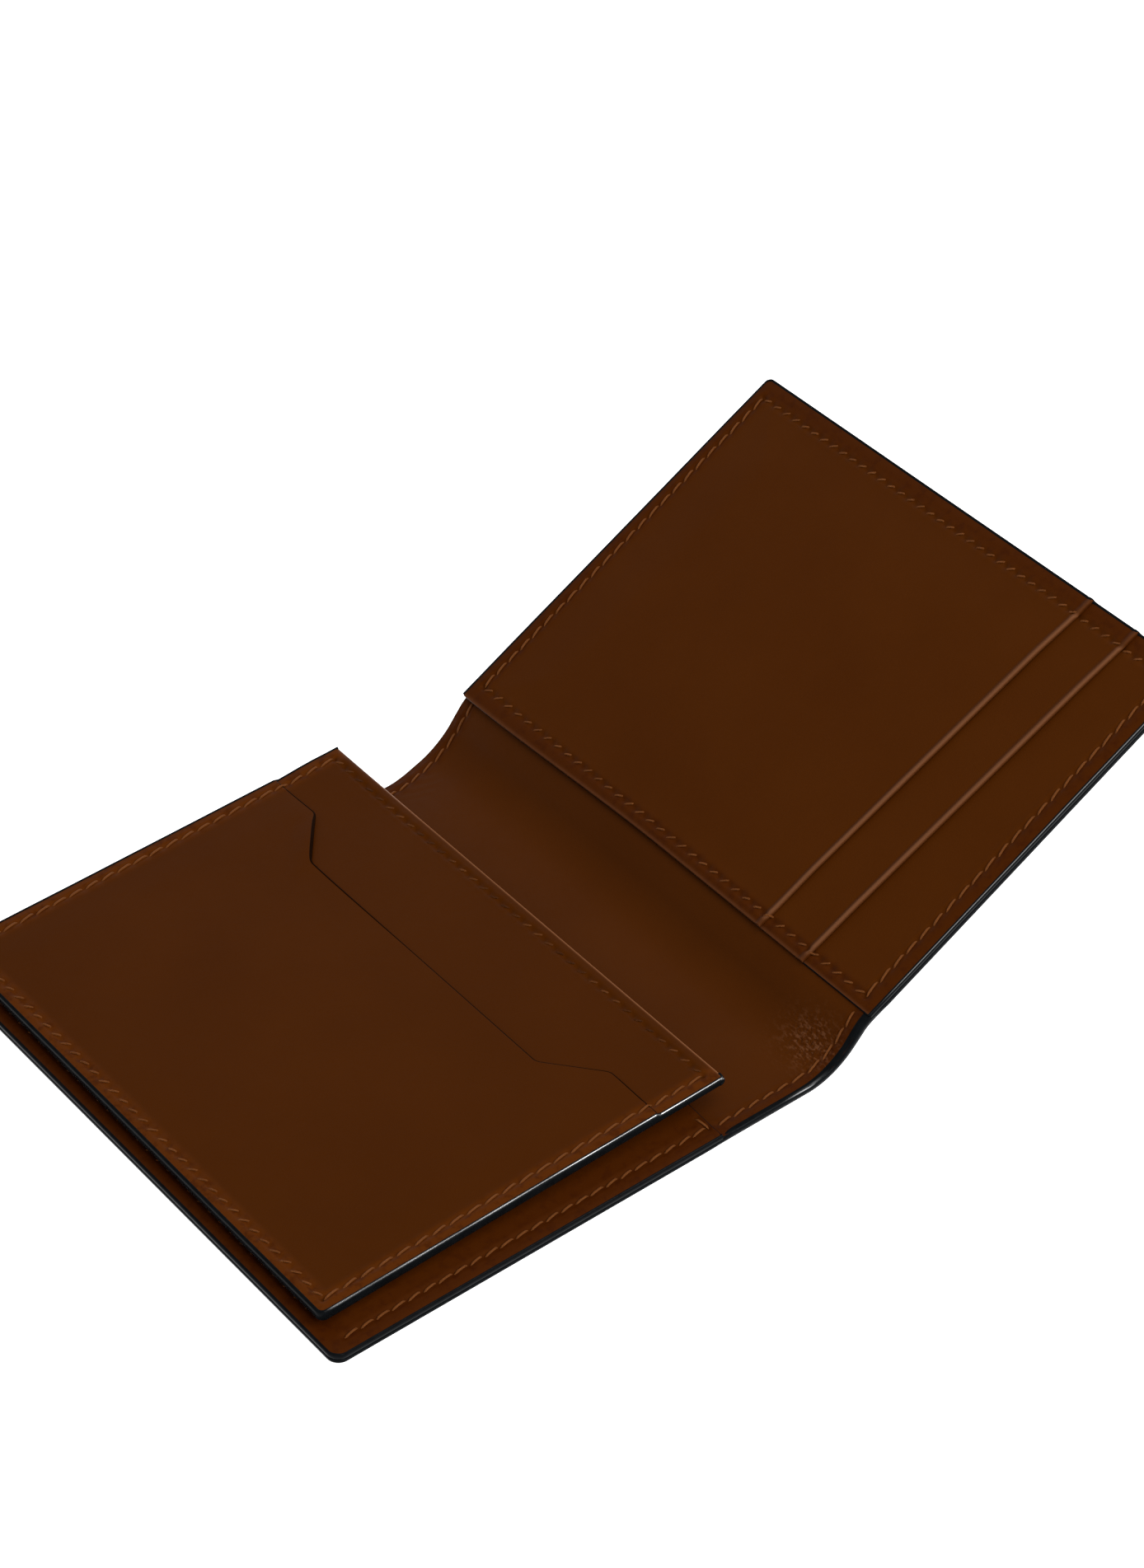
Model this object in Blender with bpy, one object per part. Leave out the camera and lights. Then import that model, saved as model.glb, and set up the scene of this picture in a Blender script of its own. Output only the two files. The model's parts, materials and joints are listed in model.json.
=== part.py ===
"""Bifold wallet in portrait format, lying open with its right cover tilted up.

The left cover lies flat and carries a slip pocket that holds a removable card holder. A soft spine joins it to
the right cover, which carries three stepped card pockets. Units are metres, +X runs from the left cover to the
right cover, +Y from the note opening to the closed edge, +Z up. The origin is at the middle of the base.
"""

import math

import bpy

# Covers
HEIGHT = 0.126  # along the spine
PANEL_WIDTH = 0.0927  # right panel, from its spine edge to its outer edge
SLIP_POCKET_WIDTH = 0.0903  # left panel, from the outer edge to its edge beside the spine
CORNER_RADIUS = 0.0035
PANEL_CORNER_RADIUS = 0.002

# Layers
COVER_THICKNESS = 0.0009
LINING_THICKNESS = 0.0004
POCKET_THICKNESS = 0.0005
FABRIC_THICKNESS = 0.00015
LAYER_GAP = 0.0002

# Spine, as three straight lengths with a fold between each two
FOLD_X = 0.11785  # from the left outer edge to the fold beside the right cover
RISER_LENGTH = 0.01167
PANEL_SET_BACK = 0.00162  # from the crease of the riser to the right panel
RISER_ANGLE = math.radians(50.3)
PANEL_ANGLE = math.radians(28.4)
FOLD_GAP = 0.00015  # each side of a fold line
CLOSED_CLEARANCE = 0.00065  # between the card pockets and the holder when the wallet is shut

# Card pockets on the right cover
SLOT_LOW = 0.017  # edge of the middle pocket, from the note opening
SLOT_HIGH = 0.0295  # edge of the front pocket
CARD_LENGTH = 0.0856
POCKET_LINING_INSET = (PANEL_WIDTH - CARD_LENGTH - 0.0003) / 2

# Card holder
PAGE_WIDTH = 0.0945
PAGE_LENGTH = 0.124
PAGE_X = 0.0022  # outer edge of the page, from the left outer edge
PAGE_Y = 0.0072  # near edge of the page
PAGE_TOP_SPINE = 0.0090  # height of its upper face at the folded edge
PAGE_TOP_OUTER = 0.0065  # height of its upper face at the outer edge
WRAP_THICKNESS = 0.0006
PAGE_CORNER_RADIUS = 0.0016
CUT_EDGE_X = 0.0163  # pocket face, from the folded edge, beside the thumb cut
CUT_DEPTH = 0.0092
CUT_START = 0.0142  # from each end of the page to the start of the slanted side
CUT_RUN = 0.0112
TONGUE_LENGTH = 0.110
TONGUE_DEPTH = 0.068
TONGUE_THICKNESS = 0.0004
TONGUE_TAB = 0.014
TONGUE_CLEARANCE = 0.0011  # from the slip pocket's edge to the start of the tongue's bend

# Seams
SEAM_INSET = 0.0035
THREAD_RADIUS = 0.0002
THREAD_LIFT = 0.0001

ARC_STEPS = 6

LINING_BASE = COVER_THICKNESS + LAYER_GAP
LINING_TOP = LINING_BASE + LINING_THICKNESS
TONGUE_BASE = LINING_TOP + LAYER_GAP
SLIP_BASE = TONGUE_BASE + TONGUE_THICKNESS + LAYER_GAP
SLIP_TOP = SLIP_BASE + POCKET_THICKNESS
BACKING_BASE = LINING_TOP + LAYER_GAP
BACKING_TOP = BACKING_BASE + POCKET_THICKNESS
MIDDLE_LINING_BASE = BACKING_TOP + LAYER_GAP
MIDDLE_BASE = MIDDLE_LINING_BASE + FABRIC_THICKNESS + LAYER_GAP
MIDDLE_TOP = MIDDLE_BASE + POCKET_THICKNESS
FRONT_LINING_BASE = MIDDLE_TOP + LAYER_GAP
FRONT_BASE = FRONT_LINING_BASE + FABRIC_THICKNESS + LAYER_GAP
FRONT_TOP = FRONT_BASE + POCKET_THICKNESS

# The spine between the folds stands upright when the wallet is shut, and the riser leans back down from its top.
RISER_DROP = RISER_LENGTH * math.sin(RISER_ANGLE - PANEL_ANGLE)
FOLD_HEIGHT = PAGE_TOP_SPINE + CLOSED_CLEARANCE + FRONT_TOP - LINING_TOP + RISER_DROP - LINING_TOP
LEFT_FOLD_X = FOLD_X - FOLD_HEIGHT
DIVIDER_THICKNESS = FABRIC_THICKNESS
WRAP_INNER = DIVIDER_THICKNESS + 2 * LAYER_GAP
WRAP_HEIGHT = 2 * WRAP_THICKNESS + WRAP_INNER
PAGE_HEIGHT = WRAP_HEIGHT + LAYER_GAP + POCKET_THICKNESS
PAGE_SLOPE = math.asin((PAGE_TOP_SPINE - PAGE_TOP_OUTER) / PAGE_WIDTH)

RIGHT_EDGE = (
    FOLD_X
    + RISER_LENGTH * math.cos(RISER_ANGLE)
    + (PANEL_SET_BACK + PANEL_WIDTH) * math.cos(PANEL_ANGLE)
    + LINING_TOP * math.sin(PANEL_ANGLE)
)
FAR_EDGE = max(HEIGHT, PAGE_Y + PAGE_LENGTH)
ORIGIN_X = RIGHT_EDGE / 2
ORIGIN_Y = FAR_EDGE / 2

LEATHER = (0.061, 0.0145, 0.0030, 1.0)
BLACK_LEATHER = (0.008, 0.008, 0.009, 1.0)
CLOTH = (0.030, 0.012, 0.006, 1.0)
THREAD = (0.13, 0.040, 0.010, 1.0)


def make_material(name, colour, roughness):
    """Return a plain material of this base colour and roughness."""
    material = bpy.data.materials.new(name)
    material.use_nodes = True
    shader = material.node_tree.nodes["Principled BSDF"]
    shader.inputs["Base Color"].default_value = colour
    shader.inputs["Roughness"].default_value = roughness
    shader.inputs["Metallic"].default_value = 0.0
    return material


def add_empty(name, collection, parent, location, turn=0.0):
    """Add a frame to place pieces in. A positive turn lifts its +X side."""
    empty = bpy.data.objects.new(name, None)
    empty.empty_display_size = 0.01
    collection.objects.link(empty)
    empty.parent = parent
    empty.location = location
    empty.rotation_euler = (0.0, -turn, 0.0)
    return empty


def corner_arc(centre, radius, start):
    """Return the points of a quarter circle that starts at this angle."""
    points = []
    for step in range(ARC_STEPS + 1):
        angle = start + math.pi / 2 * step / ARC_STEPS
        points.append((centre[0] + radius * math.cos(angle), centre[1] + radius * math.sin(angle)))
    return points


def rounded_outline(x0, x1, y0, y1, left_radius, right_radius):
    """Return a rectangle's outline, with its own corner radius on the left and right."""
    outline = []
    if right_radius:
        outline += corner_arc((x1 - right_radius, y1 - right_radius), right_radius, 0.0)
    else:
        outline.append((x1, y1))
    if left_radius:
        outline += corner_arc((x0 + left_radius, y1 - left_radius), left_radius, math.pi / 2)
        outline += corner_arc((x0 + left_radius, y0 + left_radius), left_radius, math.pi)
    else:
        outline += [(x0, y1), (x0, y0)]
    if right_radius:
        outline += corner_arc((x1 - right_radius, y0 + right_radius), right_radius, 3 * math.pi / 2)
    else:
        outline.append((x1, y0))
    return outline


def add_sheet(name, collection, parent, outline, base, thickness, material):
    """Add a flat sheet of this outline, from its base height up."""
    curve = bpy.data.curves.new(name, "CURVE")
    curve.dimensions = "2D"
    curve.fill_mode = "BOTH"
    curve.extrude = thickness / 2
    spline = curve.splines.new("POLY")
    spline.points.add(len(outline) - 1)
    for point, (x, y) in zip(spline.points, outline):
        point.co = (x, y, 0.0, 1.0)
    spline.use_cyclic_u = True
    curve.materials.append(material)
    sheet = bpy.data.objects.new(name, curve)
    collection.objects.link(sheet)
    sheet.parent = parent
    sheet.location = (0.0, 0.0, base + thickness / 2)
    return sheet


def add_profile(name, collection, parent, profile, start, length, material):
    """Add a strip of this X and Z profile, drawn out along +Y from start."""
    curve = bpy.data.curves.new(name, "CURVE")
    curve.dimensions = "2D"
    curve.fill_mode = "BOTH"
    curve.extrude = length / 2
    spline = curve.splines.new("POLY")
    spline.points.add(len(profile) - 1)
    for point, (x, z) in zip(spline.points, profile):
        point.co = (x, z, 0.0, 1.0)
    spline.use_cyclic_u = True
    curve.materials.append(material)
    strip = bpy.data.objects.new(name, curve)
    collection.objects.link(strip)
    strip.parent = parent
    strip.location = (0.0, start + length / 2, 0.0)
    strip.rotation_euler = (math.pi / 2, 0.0, 0.0)
    return strip


def add_thread(name, collection, parent, path, cyclic, material):
    """Add a round thread along this path."""
    curve = bpy.data.curves.new(name, "CURVE")
    curve.dimensions = "3D"
    curve.bevel_depth = THREAD_RADIUS
    curve.bevel_resolution = 1
    curve.use_fill_caps = not cyclic
    spline = curve.splines.new("POLY")
    spline.points.add(len(path) - 1)
    for point, (x, y, z) in zip(spline.points, path):
        point.co = (x, y, z, 1.0)
    spline.use_cyclic_u = cyclic
    curve.materials.append(material)
    thread = bpy.data.objects.new(name, curve)
    collection.objects.link(thread)
    thread.parent = parent
    return thread


def half_ring(centre, inner, outer, steps):
    """Return the profile of a half ring that opens towards -X."""
    profile = []
    for step in range(steps + 1):
        angle = -math.pi / 2 + math.pi * step / steps
        profile.append((centre[0] + outer * math.cos(angle), centre[1] + outer * math.sin(angle)))
    for step in range(steps + 1):
        angle = math.pi / 2 - math.pi * step / steps
        profile.append((centre[0] + inner * math.cos(angle), centre[1] + inner * math.sin(angle)))
    return profile


def build_left_cover(collection, root, leather, outside, thread):
    """Build what lies flat on the left: cover, lining and slip pocket."""
    fold_edge = LEFT_FOLD_X - FOLD_GAP
    base = rounded_outline(0.0, fold_edge, 0.0, HEIGHT, CORNER_RADIUS, 0.0)
    add_sheet("outer_cover_left", collection, root, base, 0.0, COVER_THICKNESS, outside)
    add_sheet("note_lining_left", collection, root, base, LINING_BASE, LINING_THICKNESS, leather)
    pocket = rounded_outline(0.0, SLIP_POCKET_WIDTH, 0.0, HEIGHT, CORNER_RADIUS, 0.0)
    add_sheet("slip_pocket_panel", collection, root, pocket, SLIP_BASE, POCKET_THICKNESS, leather)
    height = SLIP_TOP + THREAD_LIFT + THREAD_RADIUS
    path = [
        (SLIP_POCKET_WIDTH - SEAM_INSET, SEAM_INSET, height),
        (SEAM_INSET, SEAM_INSET, height),
        (SEAM_INSET, HEIGHT - SEAM_INSET, height),
    ]
    add_thread("slip_pocket_seam_thread", collection, root, path, False, thread)


def build_spine(collection, root, leather, outside):
    """Build the length of spine between the two folds. Return the frame of the second fold."""
    axis = add_empty("spine_fold_axis", collection, root, (LEFT_FOLD_X, 0.0, LINING_TOP))
    strip = rounded_outline(FOLD_GAP, FOLD_HEIGHT - FOLD_GAP, 0.0, HEIGHT, 0.0, 0.0)
    add_sheet("outer_cover_spine", collection, axis, strip, -LINING_TOP, COVER_THICKNESS, outside)
    add_sheet("note_lining_spine", collection, axis, strip, -LINING_THICKNESS, LINING_THICKNESS, leather)
    return add_empty("cover_fold_axis", collection, axis, (FOLD_HEIGHT, 0.0, 0.0), RISER_ANGLE)


def build_right_cover(collection, axis, leather, outside, cloth, thread):
    """Build the riser and the right cover with its stepped card pockets."""
    mitre = (LINING_TOP - COVER_THICKNESS / 2) * math.tan((RISER_ANGLE - PANEL_ANGLE) / 2)
    riser = rounded_outline(FOLD_GAP, RISER_LENGTH - FOLD_GAP - mitre, 0.0, HEIGHT, 0.0, 0.0)
    add_sheet("outer_cover_riser", collection, axis, riser, -LINING_TOP, COVER_THICKNESS, outside)
    add_sheet("note_lining_riser", collection, axis, riser, -LINING_THICKNESS, LINING_THICKNESS, leather)

    crease = (RISER_LENGTH, 0.0, 0.0)
    frame = add_empty("right_panel_frame", collection, axis, crease, PANEL_ANGLE - RISER_ANGLE)
    panel_edge = PANEL_SET_BACK + PANEL_WIDTH
    base = rounded_outline(FOLD_GAP + mitre, panel_edge, 0.0, HEIGHT, 0.0, PANEL_CORNER_RADIUS)
    lift = -LINING_TOP
    add_sheet("outer_cover_right", collection, frame, base, lift, COVER_THICKNESS, outside)
    add_sheet("note_lining_right", collection, frame, base, -LINING_THICKNESS, LINING_THICKNESS, leather)

    backing = rounded_outline(PANEL_SET_BACK, panel_edge, 0.0, HEIGHT, 0.0, PANEL_CORNER_RADIUS)
    add_sheet("card_panel_backing", collection, frame, backing, lift + BACKING_BASE, POCKET_THICKNESS, leather)
    for name, edge, height in (
        ("card_pocket_middle", SLOT_LOW, MIDDLE_BASE),
        ("card_pocket_front", SLOT_HIGH, FRONT_BASE),
    ):
        outline = rounded_outline(PANEL_SET_BACK, panel_edge, edge, HEIGHT, 0.0, 0.0)
        add_sheet(name, collection, frame, outline, lift + height, POCKET_THICKNESS, leather)
    for name, edge, height in (
        ("card_pocket_lining_middle", SLOT_LOW, MIDDLE_LINING_BASE),
        ("card_pocket_lining_front", SLOT_HIGH, FRONT_LINING_BASE),
    ):
        outline = rounded_outline(
            PANEL_SET_BACK + POCKET_LINING_INSET,
            panel_edge - POCKET_LINING_INSET,
            edge + SEAM_INSET,
            HEIGHT - SEAM_INSET,
            0.0,
            0.0,
        )
        add_sheet(name, collection, frame, outline, lift + height, FABRIC_THICKNESS, cloth)

    rise = THREAD_LIFT + THREAD_RADIUS
    low = lift + BACKING_TOP + rise
    middle = lift + MIDDLE_TOP + rise
    high = lift + FRONT_TOP + rise
    step = 2 * THREAD_RADIUS
    x0 = PANEL_SET_BACK + SEAM_INSET
    x1 = panel_edge - SEAM_INSET
    levels = [
        (SEAM_INSET, low),
        (SLOT_LOW - 2.5 * step, low),
        (SLOT_LOW - step, middle),
        (SLOT_HIGH - 2.5 * step, middle),
        (SLOT_HIGH - step, high),
        (HEIGHT - SEAM_INSET, high),
    ]
    path = [(x1, y, z) for y, z in levels]
    path += [(x0, y, z) for y, z in reversed(levels)]
    add_thread("card_panel_seam_thread", collection, frame, path, True, thread)


def build_card_holder(collection, root, leather, cloth, thread):
    """Build the removable holder: folded wrap, pocket face, divider and tongue."""
    spine_edge = PAGE_X + PAGE_WIDTH * math.cos(PAGE_SLOPE)
    page = add_empty(
        "holder_page_frame", collection, root, (spine_edge, PAGE_Y, PAGE_TOP_SPINE - PAGE_HEIGHT), PAGE_SLOPE
    )
    bend = WRAP_HEIGHT / 2
    outer_edge = -PAGE_WIDTH
    panel = rounded_outline(outer_edge, -bend - FOLD_GAP, 0.0, PAGE_LENGTH, PAGE_CORNER_RADIUS, 0.0)
    front_base = WRAP_HEIGHT - WRAP_THICKNESS
    add_sheet("holder_back_panel", collection, page, panel, 0.0, WRAP_THICKNESS, leather)
    add_sheet("holder_front_panel", collection, page, panel, front_base, WRAP_THICKNESS, leather)
    fold = half_ring((-bend, bend), bend - WRAP_THICKNESS, bend, ARC_STEPS)
    add_profile("holder_folded_edge", collection, page, fold, 0.0, PAGE_LENGTH, leather)
    divider = rounded_outline(
        outer_edge + SEAM_INSET, -WRAP_HEIGHT, SEAM_INSET, PAGE_LENGTH - SEAM_INSET, 0.0, 0.0
    )
    divider_base = WRAP_THICKNESS + LAYER_GAP
    add_sheet("holder_divider", collection, page, divider, divider_base, DIVIDER_THICKNESS, cloth)

    low = CUT_START
    high = PAGE_LENGTH - CUT_START
    face = corner_arc((outer_edge + PAGE_CORNER_RADIUS, PAGE_CORNER_RADIUS), PAGE_CORNER_RADIUS, math.pi)
    face += [
        (-CUT_EDGE_X, 0.0),
        (-CUT_EDGE_X, low),
        (-CUT_EDGE_X - CUT_DEPTH, low + CUT_RUN),
        (-CUT_EDGE_X - CUT_DEPTH, high - CUT_RUN),
        (-CUT_EDGE_X, high),
        (-CUT_EDGE_X, PAGE_LENGTH),
    ]
    far_corner = (outer_edge + PAGE_CORNER_RADIUS, PAGE_LENGTH - PAGE_CORNER_RADIUS)
    face += corner_arc(far_corner, PAGE_CORNER_RADIUS, math.pi / 2)
    face_base = WRAP_HEIGHT + LAYER_GAP
    add_sheet("holder_pocket_face", collection, page, face, face_base, POCKET_THICKNESS, leather)

    rise = THREAD_LIFT + THREAD_RADIUS
    step = 2 * THREAD_RADIUS
    x0 = outer_edge + SEAM_INSET
    x1 = -SEAM_INSET
    levels = [
        (x0, PAGE_HEIGHT + rise),
        (-CUT_EDGE_X + step, PAGE_HEIGHT + rise),
        (-CUT_EDGE_X + 2.5 * step, WRAP_HEIGHT + rise),
        (x1, WRAP_HEIGHT + rise),
    ]
    path = [(x, SEAM_INSET, z) for x, z in levels]
    path += [(x, PAGE_LENGTH - SEAM_INSET, z) for x, z in reversed(levels)]
    add_thread("holder_seam_thread", collection, page, path, True, thread)

    bend_x = SLIP_POCKET_WIDTH + TONGUE_CLEARANCE
    near = PAGE_Y + (PAGE_LENGTH - TONGUE_LENGTH) / 2
    far = near + TONGUE_LENGTH
    leaf = rounded_outline(bend_x - TONGUE_DEPTH, bend_x, near, far, CORNER_RADIUS, 0.0)
    add_sheet("holder_tongue_leaf", collection, root, leaf, TONGUE_BASE, TONGUE_THICKNESS, leather)
    under_page = PAGE_TOP_SPINE - PAGE_HEIGHT - (spine_edge - bend_x) * math.tan(PAGE_SLOPE)
    tab_top = under_page - LAYER_GAP
    outer_radius = (tab_top - TONGUE_BASE) / 2
    centre = (bend_x + LAYER_GAP, TONGUE_BASE + outer_radius)
    tongue_bend = half_ring(centre, outer_radius - TONGUE_THICKNESS, outer_radius, 2 * ARC_STEPS)
    add_profile("holder_tongue_fold", collection, root, tongue_bend, near, TONGUE_LENGTH, leather)
    tab_frame = add_empty("holder_tab_frame", collection, root, (bend_x, near, tab_top), PAGE_SLOPE)
    tab = rounded_outline(-TONGUE_TAB, 0.0, 0.0, TONGUE_LENGTH, 0.0, 0.0)
    add_sheet("holder_tongue_tab", collection, tab_frame, tab, -TONGUE_THICKNESS, TONGUE_THICKNESS, leather)


def main():
    """Clear the scene and build the wallet."""
    for old in list(bpy.data.objects):
        bpy.data.objects.remove(old, do_unlink=True)
    collection = bpy.data.collections.new("bifold_wallet")
    bpy.context.scene.collection.children.link(collection)
    leather = make_material("brown_leather", LEATHER, 0.55)
    outside = make_material("black_leather", BLACK_LEATHER, 0.45)
    cloth = make_material("pocket_cloth", CLOTH, 0.8)
    thread = make_material("thread", THREAD, 0.6)
    root = add_empty("wallet_frame", collection, None, (-ORIGIN_X, -ORIGIN_Y, 0.0))
    build_left_cover(collection, root, leather, outside, thread)
    cover_fold = build_spine(collection, root, leather, outside)
    build_right_cover(collection, cover_fold, leather, outside, cloth, thread)
    build_card_holder(collection, root, leather, cloth, thread)


main()
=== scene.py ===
"""Visual model of a bifold wallet with a removable card holder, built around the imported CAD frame.

Sizes are in millimetres inside the classes and become metres when a mesh is written. A flat panel
is described in its own plane, as (across, along, up). Across runs from the wallet's outer edge
towards the spine on the left cover, up to 0 at the fold on the holder, and from the spine to the
outer edge on the right cover. Along runs from the note opening to the closed edge, and up leaves
the leather. A Placing turns such points into the row frame.
"""

import json
import logging
import math
from collections.abc import Callable
from dataclasses import dataclass, field, replace
from enum import Enum

import bmesh
import bpy
import numpy as np
from mathutils import Matrix, Vector


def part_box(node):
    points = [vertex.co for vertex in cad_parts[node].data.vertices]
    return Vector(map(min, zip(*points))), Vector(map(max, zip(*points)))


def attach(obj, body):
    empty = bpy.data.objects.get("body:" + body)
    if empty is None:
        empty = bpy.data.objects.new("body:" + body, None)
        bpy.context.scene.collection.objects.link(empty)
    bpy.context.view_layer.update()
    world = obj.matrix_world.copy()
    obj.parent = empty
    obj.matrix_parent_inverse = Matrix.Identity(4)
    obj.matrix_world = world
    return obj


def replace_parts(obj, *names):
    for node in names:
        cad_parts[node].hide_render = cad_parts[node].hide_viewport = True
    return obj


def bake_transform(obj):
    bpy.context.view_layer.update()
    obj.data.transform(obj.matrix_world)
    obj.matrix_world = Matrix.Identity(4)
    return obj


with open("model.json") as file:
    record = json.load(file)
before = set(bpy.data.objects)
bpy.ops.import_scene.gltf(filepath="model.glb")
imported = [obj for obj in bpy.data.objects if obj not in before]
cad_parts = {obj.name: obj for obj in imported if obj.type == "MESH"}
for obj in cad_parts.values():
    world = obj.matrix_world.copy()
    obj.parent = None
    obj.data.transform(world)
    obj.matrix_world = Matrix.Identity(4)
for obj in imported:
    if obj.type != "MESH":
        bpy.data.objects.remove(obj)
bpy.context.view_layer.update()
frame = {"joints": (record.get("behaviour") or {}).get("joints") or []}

MM = 0.001
CLOTH_THICKNESS = 0.15
EDGE_LINES = (6.5, 0.42)  # width of the band of fine grid lines along a sewn edge, and their spacing
log = logging.getLogger("wallet")

Array = np.ndarray
BMesh = bmesh.types.BMesh
Colour = tuple[float, float, float]
Material = bpy.types.Material
Piece = bpy.types.Object
Socket = bpy.types.NodeSocket
Surface = Callable[[Array, Array], Array]  # a height or share for each (across, along)


# --- Finishes ---


class Nodes:
    """A material's node tree, with short calls to add to it."""

    def __init__(self, name: str) -> None:
        """Start a material that holds only its shader."""
        self.material = bpy.data.materials.new(name)
        self.material.use_nodes = True
        self.tree = self.material.node_tree
        self.shader = self.tree.nodes["Principled BSDF"]
        self.shader.distribution = "MULTI_GGX"

    def add(self, kind: str, **settings: object) -> bpy.types.Node:
        """Add a node.

        Args:
            kind: the node's type.
            settings: a value for each setting of the node, or for an input, whose name is written
                with underscores.

        Returns:
            The new node.
        """
        node = self.tree.nodes.new(kind)
        for key, value in settings.items():
            if hasattr(node, key):
                setattr(node, key, value)
            else:
                node.inputs[key.replace("_", " ")].default_value = value
        return node

    def link(self, out: Socket, into: Socket) -> None:
        """Join two sockets."""
        self.tree.links.new(out, into)

    def drive(self, name: str, value: Socket) -> None:
        """Lead a value to one of the shader's inputs."""
        self.link(value, self.shader.inputs[name])

    def fix(self, **values: float | Colour) -> None:
        """Set the shader's own inputs, whose names are written with underscores."""
        for key, value in values.items():
            into = self.shader.inputs[key.replace("_", " ")]
            into.default_value = (*value, 1.0) if isinstance(value, tuple) else value

    def product(self, first: Socket, second: Socket) -> Socket:
        """Return two values multiplied."""
        node = self.add("ShaderNodeMath", operation="MULTIPLY")
        self.link(first, node.inputs[0])
        self.link(second, node.inputs[1])
        return node.outputs[0]

    def place(self, stretch: tuple[float, float, float] = (1.0, 1.0, 1.0)) -> Socket:
        """Return the object's own coordinates, stretched along its axes."""
        coordinates = self.add("ShaderNodeTexCoord")
        mapping = self.add("ShaderNodeMapping")
        mapping.inputs["Scale"].default_value = stretch
        self.link(coordinates.outputs["Object"], mapping.inputs["Vector"])
        return mapping.outputs["Vector"]

    def noise(
        self, vector: Socket, scale: float, detail: float = 3.0, rough: float = 0.5
    ) -> Socket:
        """Return a noise of this scale."""
        node = self.add("ShaderNodeTexNoise", Scale=scale, Detail=detail, Roughness=rough)
        self.link(vector, node.inputs["Vector"])
        return node.outputs["Fac"]

    def cells(self, vector: Socket, scale: float) -> Socket:
        """Return the distance to the middle of rounded cells, as leather pores lie."""
        node = self.add("ShaderNodeTexVoronoi", feature="SMOOTH_F1", Scale=scale, Smoothness=0.35)
        self.link(vector, node.inputs["Vector"])
        return node.outputs["Distance"]

    def spread(
        self, value: Socket, low: float, high: float, to_low: float = 0.0, to_high: float = 1.0
    ) -> Socket:
        """Return the value mapped from one range to another."""
        node = self.add("ShaderNodeMapRange", From_Min=low, From_Max=high, To_Min=to_low, To_Max=to_high)
        self.link(value, node.inputs["Value"])
        return node.outputs["Result"]

    def mix(self, share: Socket, first: Socket | Colour, second: Colour) -> Socket:
        """Return a colour between two, by the share of the second."""
        node = self.add("ShaderNodeMix", data_type="RGBA")
        self.link(share, node.inputs[0])
        if isinstance(first, tuple):
            node.inputs[6].default_value = (*first, 1.0)
        else:
            self.link(first, node.inputs[6])
        node.inputs[7].default_value = (*second, 1.0)
        return node.outputs[2]

    def attribute(self, name: str) -> Socket:
        """Return a mesh attribute as one number."""
        return self.add("ShaderNodeAttribute", attribute_name=name).outputs["Fac"]

    def bump(
        self, height: Socket, depth: float, strength: float, after: Socket | None = None
    ) -> Socket:
        """Return a normal raised by this height.

        Args:
            height: what raises the surface.
            depth: how far one unit of height stands up, in metres.
            strength: the share of the effect to keep.
            after: the normal to start from.
        """
        node = self.add("ShaderNodeBump", Strength=strength, Distance=depth)
        self.link(height, node.inputs["Height"])
        if after is not None:
            self.link(after, node.inputs["Normal"])
        return node.outputs["Normal"]


@dataclass(frozen=True)
class LeatherFinish:
    """Smooth dyed leather with fine pores, a redder margin outside its seams, and a painted highlight along
    turned edges, folds and creases.
    """

    name: str
    colour: Colour
    deep: Colour
    margin: Colour
    # colour of the painted highlight, where light catches turned edges, folds and creases
    painted_highlight: Colour
    stain: Colour = (0.0260, 0.0048, 0.0006)
    tint: Colour = (1.0, 0.42, 0.13)
    specular: float = 0.07
    roughness: float = 0.4
    pore_scale: float = 4200.0
    pore_depth: float = 0.000030

    def build(self) -> Material:
        """Return the material."""
        nodes = Nodes(self.name)
        place = nodes.place()
        margin, creased = nodes.attribute("margin"), nodes.attribute("creased")
        cloud = nodes.noise(place, 38.0, 4.0, 0.55)
        fine = nodes.noise(place, 900.0, 3.0, 0.6)
        colour = nodes.mix(nodes.spread(cloud, 0.3, 0.7), self.deep, self.colour)
        colour = nodes.mix(nodes.spread(fine, 0.55, 0.8, to_high=0.35), colour, self.deep)
        colour = nodes.mix(margin, colour, self.margin)
        spots = nodes.spread(nodes.noise(place, 520.0, 3.0, 0.6), 0.5, 0.66, to_high=0.75)
        colour = nodes.mix(nodes.product(margin, spots), colour, self.stain)
        # Painted highlight: a paler colour laid along turned edges and folds.
        colour = nodes.mix(nodes.attribute("painted_highlight"), colour, self.painted_highlight)
        # Painted sheen: ticks of the highlight colour across the crumpled patch.
        wrinkles = nodes.noise(nodes.place((1.0, 0.45, 0.8)), 1700.0, 2.0, 0.6)
        crease_sheen = nodes.product(creased, nodes.spread(wrinkles, 0.5, 0.64, to_high=0.5))
        nodes.drive("Base Color", nodes.mix(crease_sheen, colour, self.painted_highlight))
        dull = nodes.noise(place, 420.0, 4.0, 0.6)
        low, high = self.roughness - 0.05, self.roughness + 0.07
        nodes.drive("Roughness", nodes.spread(dull, 0.3, 0.7, low, high))
        nodes.fix(Specular_IOR_Level=self.specular, Specular_Tint=self.tint)
        pebbles = nodes.product(creased, nodes.noise(place, 1500.0, 2.0, 0.5))
        normal = nodes.bump(nodes.noise(place, 260.0, 3.0, 0.5), 0.00016, 0.35)
        normal = nodes.bump(pebbles, 0.00055, 1.0, normal)
        normal = nodes.bump(nodes.cells(place, self.pore_scale), self.pore_depth, 0.5, normal)
        normal = nodes.bump(nodes.noise(place, 9000.0, 2.0, 0.6), 0.000012, 0.5, normal)
        nodes.drive("Normal", normal)
        return nodes.material


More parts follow.
